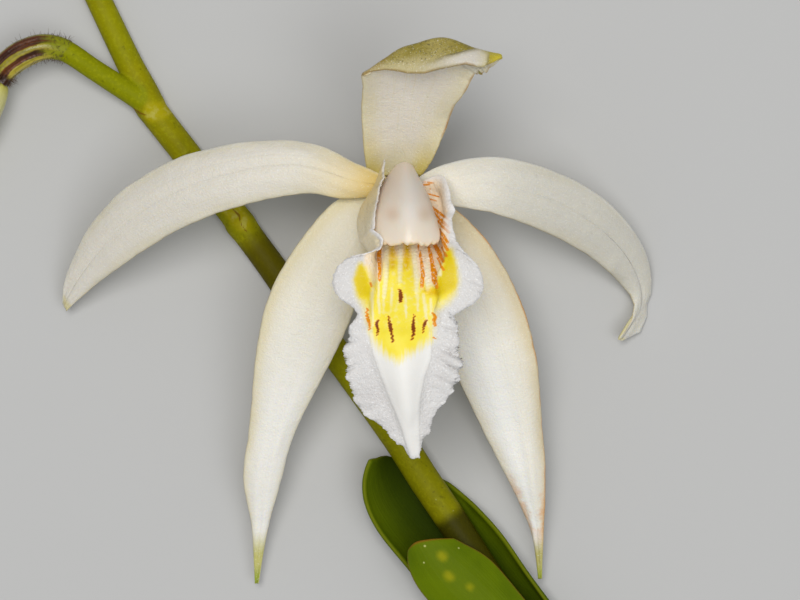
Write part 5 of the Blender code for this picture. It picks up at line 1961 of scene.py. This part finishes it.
@dataclass
class FlowerBud:
    """The closed bud, with the seams of its three sepals winding round it a little."""

    line: Sequence[Station] = (
        (-25.2, 19.4, 3.0, 0.9), (-26.0, 18.3, 2.95, 1.7), (-27.9, 15.7, 2.85, 2.3),
        (-30.4, 12.5, 2.75, 2.4), (-32.7, 9.6, 2.5, 1.7), (-34.3, 7.5, 2.3, 0.8), (-34.9, 6.8, 2.2, 0.3),
    )
    sides: int = 84
    step: float = 0.14
    seams: int = 3
    seam_depth: float = 0.09
    twist: float = 0.7

    def seam(self, turns: Array, shares: Array, width: float) -> Array:
        """1 on a seam, falling smoothly to 0 beside it."""
        return hump(np.sin(self.seams * (turns + self.twist * shares) / 2), width)

    def seamed(self, turns: Array, shares: Array) -> Array:
        """How far out the bud's skin is at each turn."""
        return 1 - self.seam_depth * self.seam(turns, shares, 0.3)

    def build(self) -> list[Object]:
        """The bud, set on the plant.

        Returns:
            The one piece.
        """
        body = Tube(self.line, self.sides, self.step, self.seamed, rounded=True).body()
        body.values["seam"] = self.seam(body.values["around"] * 2 * np.pi, body.values["along"], 0.16)
        piece = body.build("flower_bud_sepals", BudFinish().material())
        return [place_piece(piece, Slot.BUD, "flower_bud")]


@dataclass
class YoungLeaves:
    """The two young leaves at the stem's foot, set out along the shoot, right of it and up."""

    foot: Place = (23.4, -33.8)
    heading: float = math.radians(124)
    back: Sequence[Rail] = (
        [(0, -2.6, 4.8), (5.1, -3.2, 4.2), (9.8, -3.8, 3.7), (14.4, -4.6, 3.7), (19, -5, 3.9),
         (23.3, -5.3, 4.1), (26.2, -4.6, 4.2), (28.3, -2.7, 4)],
        [(0, -2.85, 1.9), (5.1, -2.9, 1.9), (9.2, -3.1, 1.8), (13.9, -3.5, 1.7), (18.5, -3.9, 1.8),
         (22.9, -4.3, 2.2), (26, -3.9, 2.8), (28.1, -2.3, 3.2)],
        [(0, 0, 0.3), (5.1, 0, 0.3), (9.2, -0.1, 0.25), (13.3, -0.4, 0.25), (17.4, -0.8, 0.25),
         (21.6, -1.3, 0.3), (24.6, -1.6, 0.5), (27.5, -1.3, 0.9)],
        [(0, 2.75, 1.9), (5.1, 2.75, 1.8), (9.2, 2.4, 1.6), (13.3, 2, 1.5), (17.4, 1.7, 1.3),
         (20.5, 1.3, 0.9), (22.6, 0.8, 0.4), (25.1, 0.2, 0.3)],
        [(0, 2.6, 4.8), (5.1, 2.9, 4.2), (9.2, 2.8, 3.6), (13.3, 2.7, 3.3), (17, 2.7, 3.1),
         (19.8, 2.3, 2.5), (21.5, 1.9, 1.5), (23, 1.5, 0.8)],
    )
    front: Sequence[Rail] = (
        [(0, -1.8, 2.4), (4.1, -2, 2.9), (7.7, -2.4, 4.5), (11.8, -4, 4.9), (15.9, -5.1, 5),
         (18.7, -5.1, 5.2), (20.4, -4.1, 5.4)],
        [(0, -1.7, 4.2), (4.1, -1.8, 4.4), (7.7, -1.8, 5.1), (11.8, -2.7, 5.7), (15.9, -3.7, 6),
         (18.6, -3.8, 6.1), (20.7, -3.4, 5.9)],
        [(0, 0, 5.1), (4.1, 0, 5.2), (7.7, -0.4, 5.4), (11.6, -1.2, 5.9), (15.9, -2.2, 6.3),
         (18.4, -2.5, 6.4), (20.4, -2.5, 6.1)],
        [(0, 1.7, 4.2), (4.1, 1.7, 4.3), (7.7, 1, 4.9), (11.6, 0.2, 5.5), (15.9, -0.5, 5.9),
         (18.4, -1.2, 6.2), (19.8, -1.5, 6)],
        [(0, 1.8, 2.4), (4.1, 1.9, 2.8), (7.7, 1.8, 3.9), (11.6, 1.4, 4.6), (15.9, 0.9, 4.9),
         (18.4, -0.2, 5.5), (19.1, -0.7, 5.6)],
    )
    thickness: float = 0.4
    spots: tuple[Stroke, ...] = strokes(
        ((3.3, -20.42, 0.2), (3.44, -20.56, 0.2)), ((3.84, -22, 0.2), (4, -22.16, 0.2)),
        ((5.52, -22.9, 0.1), (5.6, -23, 0.1)),
    )
    specks: tuple[Stroke, ...] = strokes(
        ((2, -19.68, 0.07), (2.04, -19.7, 0.07)), ((1.96, -20.96, 0.06), (2, -20.98, 0.06)),
        ((4.6, -19.9, 0.05), (4.64, -19.92, 0.05)),
    )
    rows: int = 150
    columns: int = 64
    channel: float = 0.04
    ribs: int = 9
    rib_height: float = 0.012

    def placed(self, rails: Sequence[Rail]) -> list[Rail]:
        """Moves rails from the shoot's own directions into the frame of the solids.

        Args:
            rails: The rails, set out along the shoot, right of it and up.

        Returns:
            The rails, right, up the view and up from the surface.
        """
        ahead = np.array([math.cos(self.heading), math.sin(self.heading)])
        side = np.array([ahead[1], -ahead[0]])
        return [
            [(*(np.array(self.foot) + along * ahead + right * side), up) for along, right, up in rail]
            for rail in rails
        ]

    def leaf(self, node: str, rails: Sequence[Rail], finish: LeafFinish) -> Object:
        """One leaf, set on the surface.

        Args:
            node: The solid that it stands for.
            rails: Its rails.
            finish: Its skin.

        Returns:
            The piece.
        """
        sheet = Sheet(self.placed(rails), self.rows, self.columns)
        ribs = self.rib_height * np.cos(2 * np.pi * self.ribs * sheet.across) * np.sin(np.pi * sheet.across)
        ribs -= self.channel * hump(sheet.across - 0.5, 0.1)
        sheet.raise_by(ribs * np.sin(np.pi * np.clip(sheet.along, 0.02, 0.98)) ** 0.5)
        values = {}
        if finish.spots:
            places = FRONT.plan(sheet.grid)
            values = {"spots": deepest(self.spots, places), "specks": deepest(self.specks, places)}
        body = sheet.closed(self.thickness, **values).above_surface()
        return place_piece(body.build(node + "_blade", finish.material()), Slot.LEAF, node)

    def build(self) -> list[Object]:
        """Both leaves, set on the plant.

        Returns:
            The two pieces.
        """
        # The back leaf's deep colour is painted shade, laid along its channel under the stem.
        back = LeafFinish(
            "back leaf", green=srgb(74, 92, 2), light=srgb(92, 108, 2), deep=srgb(26, 42, 2),
            rim=srgb(104, 110, 10), rim_width=0.12, glow=0.15,
        )
        front = LeafFinish(
            "front leaf", green=srgb(80, 100, 0), light=srgb(100, 120, 0), deep=srgb(94, 112, 0),
            rim=srgb(146, 92, 30), rim_width=0.3, spots=0.7,
        )
        return [self.leaf("leaf_back", self.back, back), self.leaf("leaf_front", self.front, front)]


@dataclass(frozen=True)
class Lamp:
    """A square soft light, with its power in watts."""

    name: str
    place: Point
    side: float
    power: float
    tint: Colour

    def hang(self, aim: Point) -> None:
        """Puts the light in the scene.

        Args:
            aim: The place that it points at.
        """
        data = bpy.data.lights.new(self.name, "AREA")
        data.size = self.side * MM
        data.energy = self.power
        data.color = self.tint
        lamp = bpy.data.objects.new(self.name, data)
        lamp.location = [side * MM for side in self.place]
        lamp.rotation_euler = (Vector(aim) - Vector(self.place)).to_track_quat("-Z", "Y").to_euler()
        bpy.context.scene.collection.objects.link(lamp)


@dataclass
class Studio:
    """The pale surface, the soft lights and the camera over the bloom."""

    lens: float = 168.75
    sensor: float = 36.0
    nearest: float = 10.0
    floor_side: float = 1600.0
    sky: Colour = (0.95, 0.97, 1.0)
    sky_strength: float = 0.27
    aim: Point = (8.0, 2.0, 12.0)
    lamps: tuple[Lamp, ...] = (
        Lamp("key", (-70.0, 100.0, 620.0), 260.0, 2.1, (1.0, 0.985, 0.96)),
        Lamp("fill", (170.0, -120.0, 550.0), 340.0, 1.08, (0.97, 0.985, 1.0)),
    )

    def build_floor(self) -> None:
        """The surface, which isn't part of the plant."""
        corners = np.array([(-1, -1, 0), (1, -1, 0), (1, 1, 0), (-1, 1, 0)]) * self.floor_side / 2
        Body(corners, np.array([[0, 1, 2, 3]])).build("surface", FloorFinish().material())

    def build_camera(self) -> None:
        """The camera, at the front view's eye."""
        data = bpy.data.cameras.new("camera")
        data.sensor_width = self.sensor
        data.lens = self.lens
        data.clip_start = self.nearest * MM
        camera = bpy.data.objects.new("camera", data)
        camera.location = [side * MM for side in FRONT.eye]
        bpy.context.scene.collection.objects.link(camera)
        bpy.context.scene.camera = camera

    def build(self) -> None:
        """The camera, the sky, the lights and the surface."""
        self.build_camera()
        world = bpy.data.worlds.new("studio")
        world.use_nodes = True
        background = world.node_tree.nodes["Background"]
        background.inputs["Color"].default_value = (*self.sky, 1.0)
        background.inputs["Strength"].default_value = self.sky_strength
        bpy.context.scene.world = world
        bpy.context.scene.view_settings.view_transform = "Standard"
        for lamp in self.lamps:
            lamp.hang(self.aim)
        self.build_floor()


def main() -> None:
    """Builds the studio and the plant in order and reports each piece."""
    logging.basicConfig(level=logging.INFO, format="%(message)s")
    Studio().build()
    for part in (Perianth(), Lip(), Column(), Stalks(), Ovaries(), FlowerBud(), YoungLeaves()):
        for piece in part.build():
            log.info("%s: %d faces", piece.name, len(piece.data.polygons))


if __name__ == "__main__":
    main()
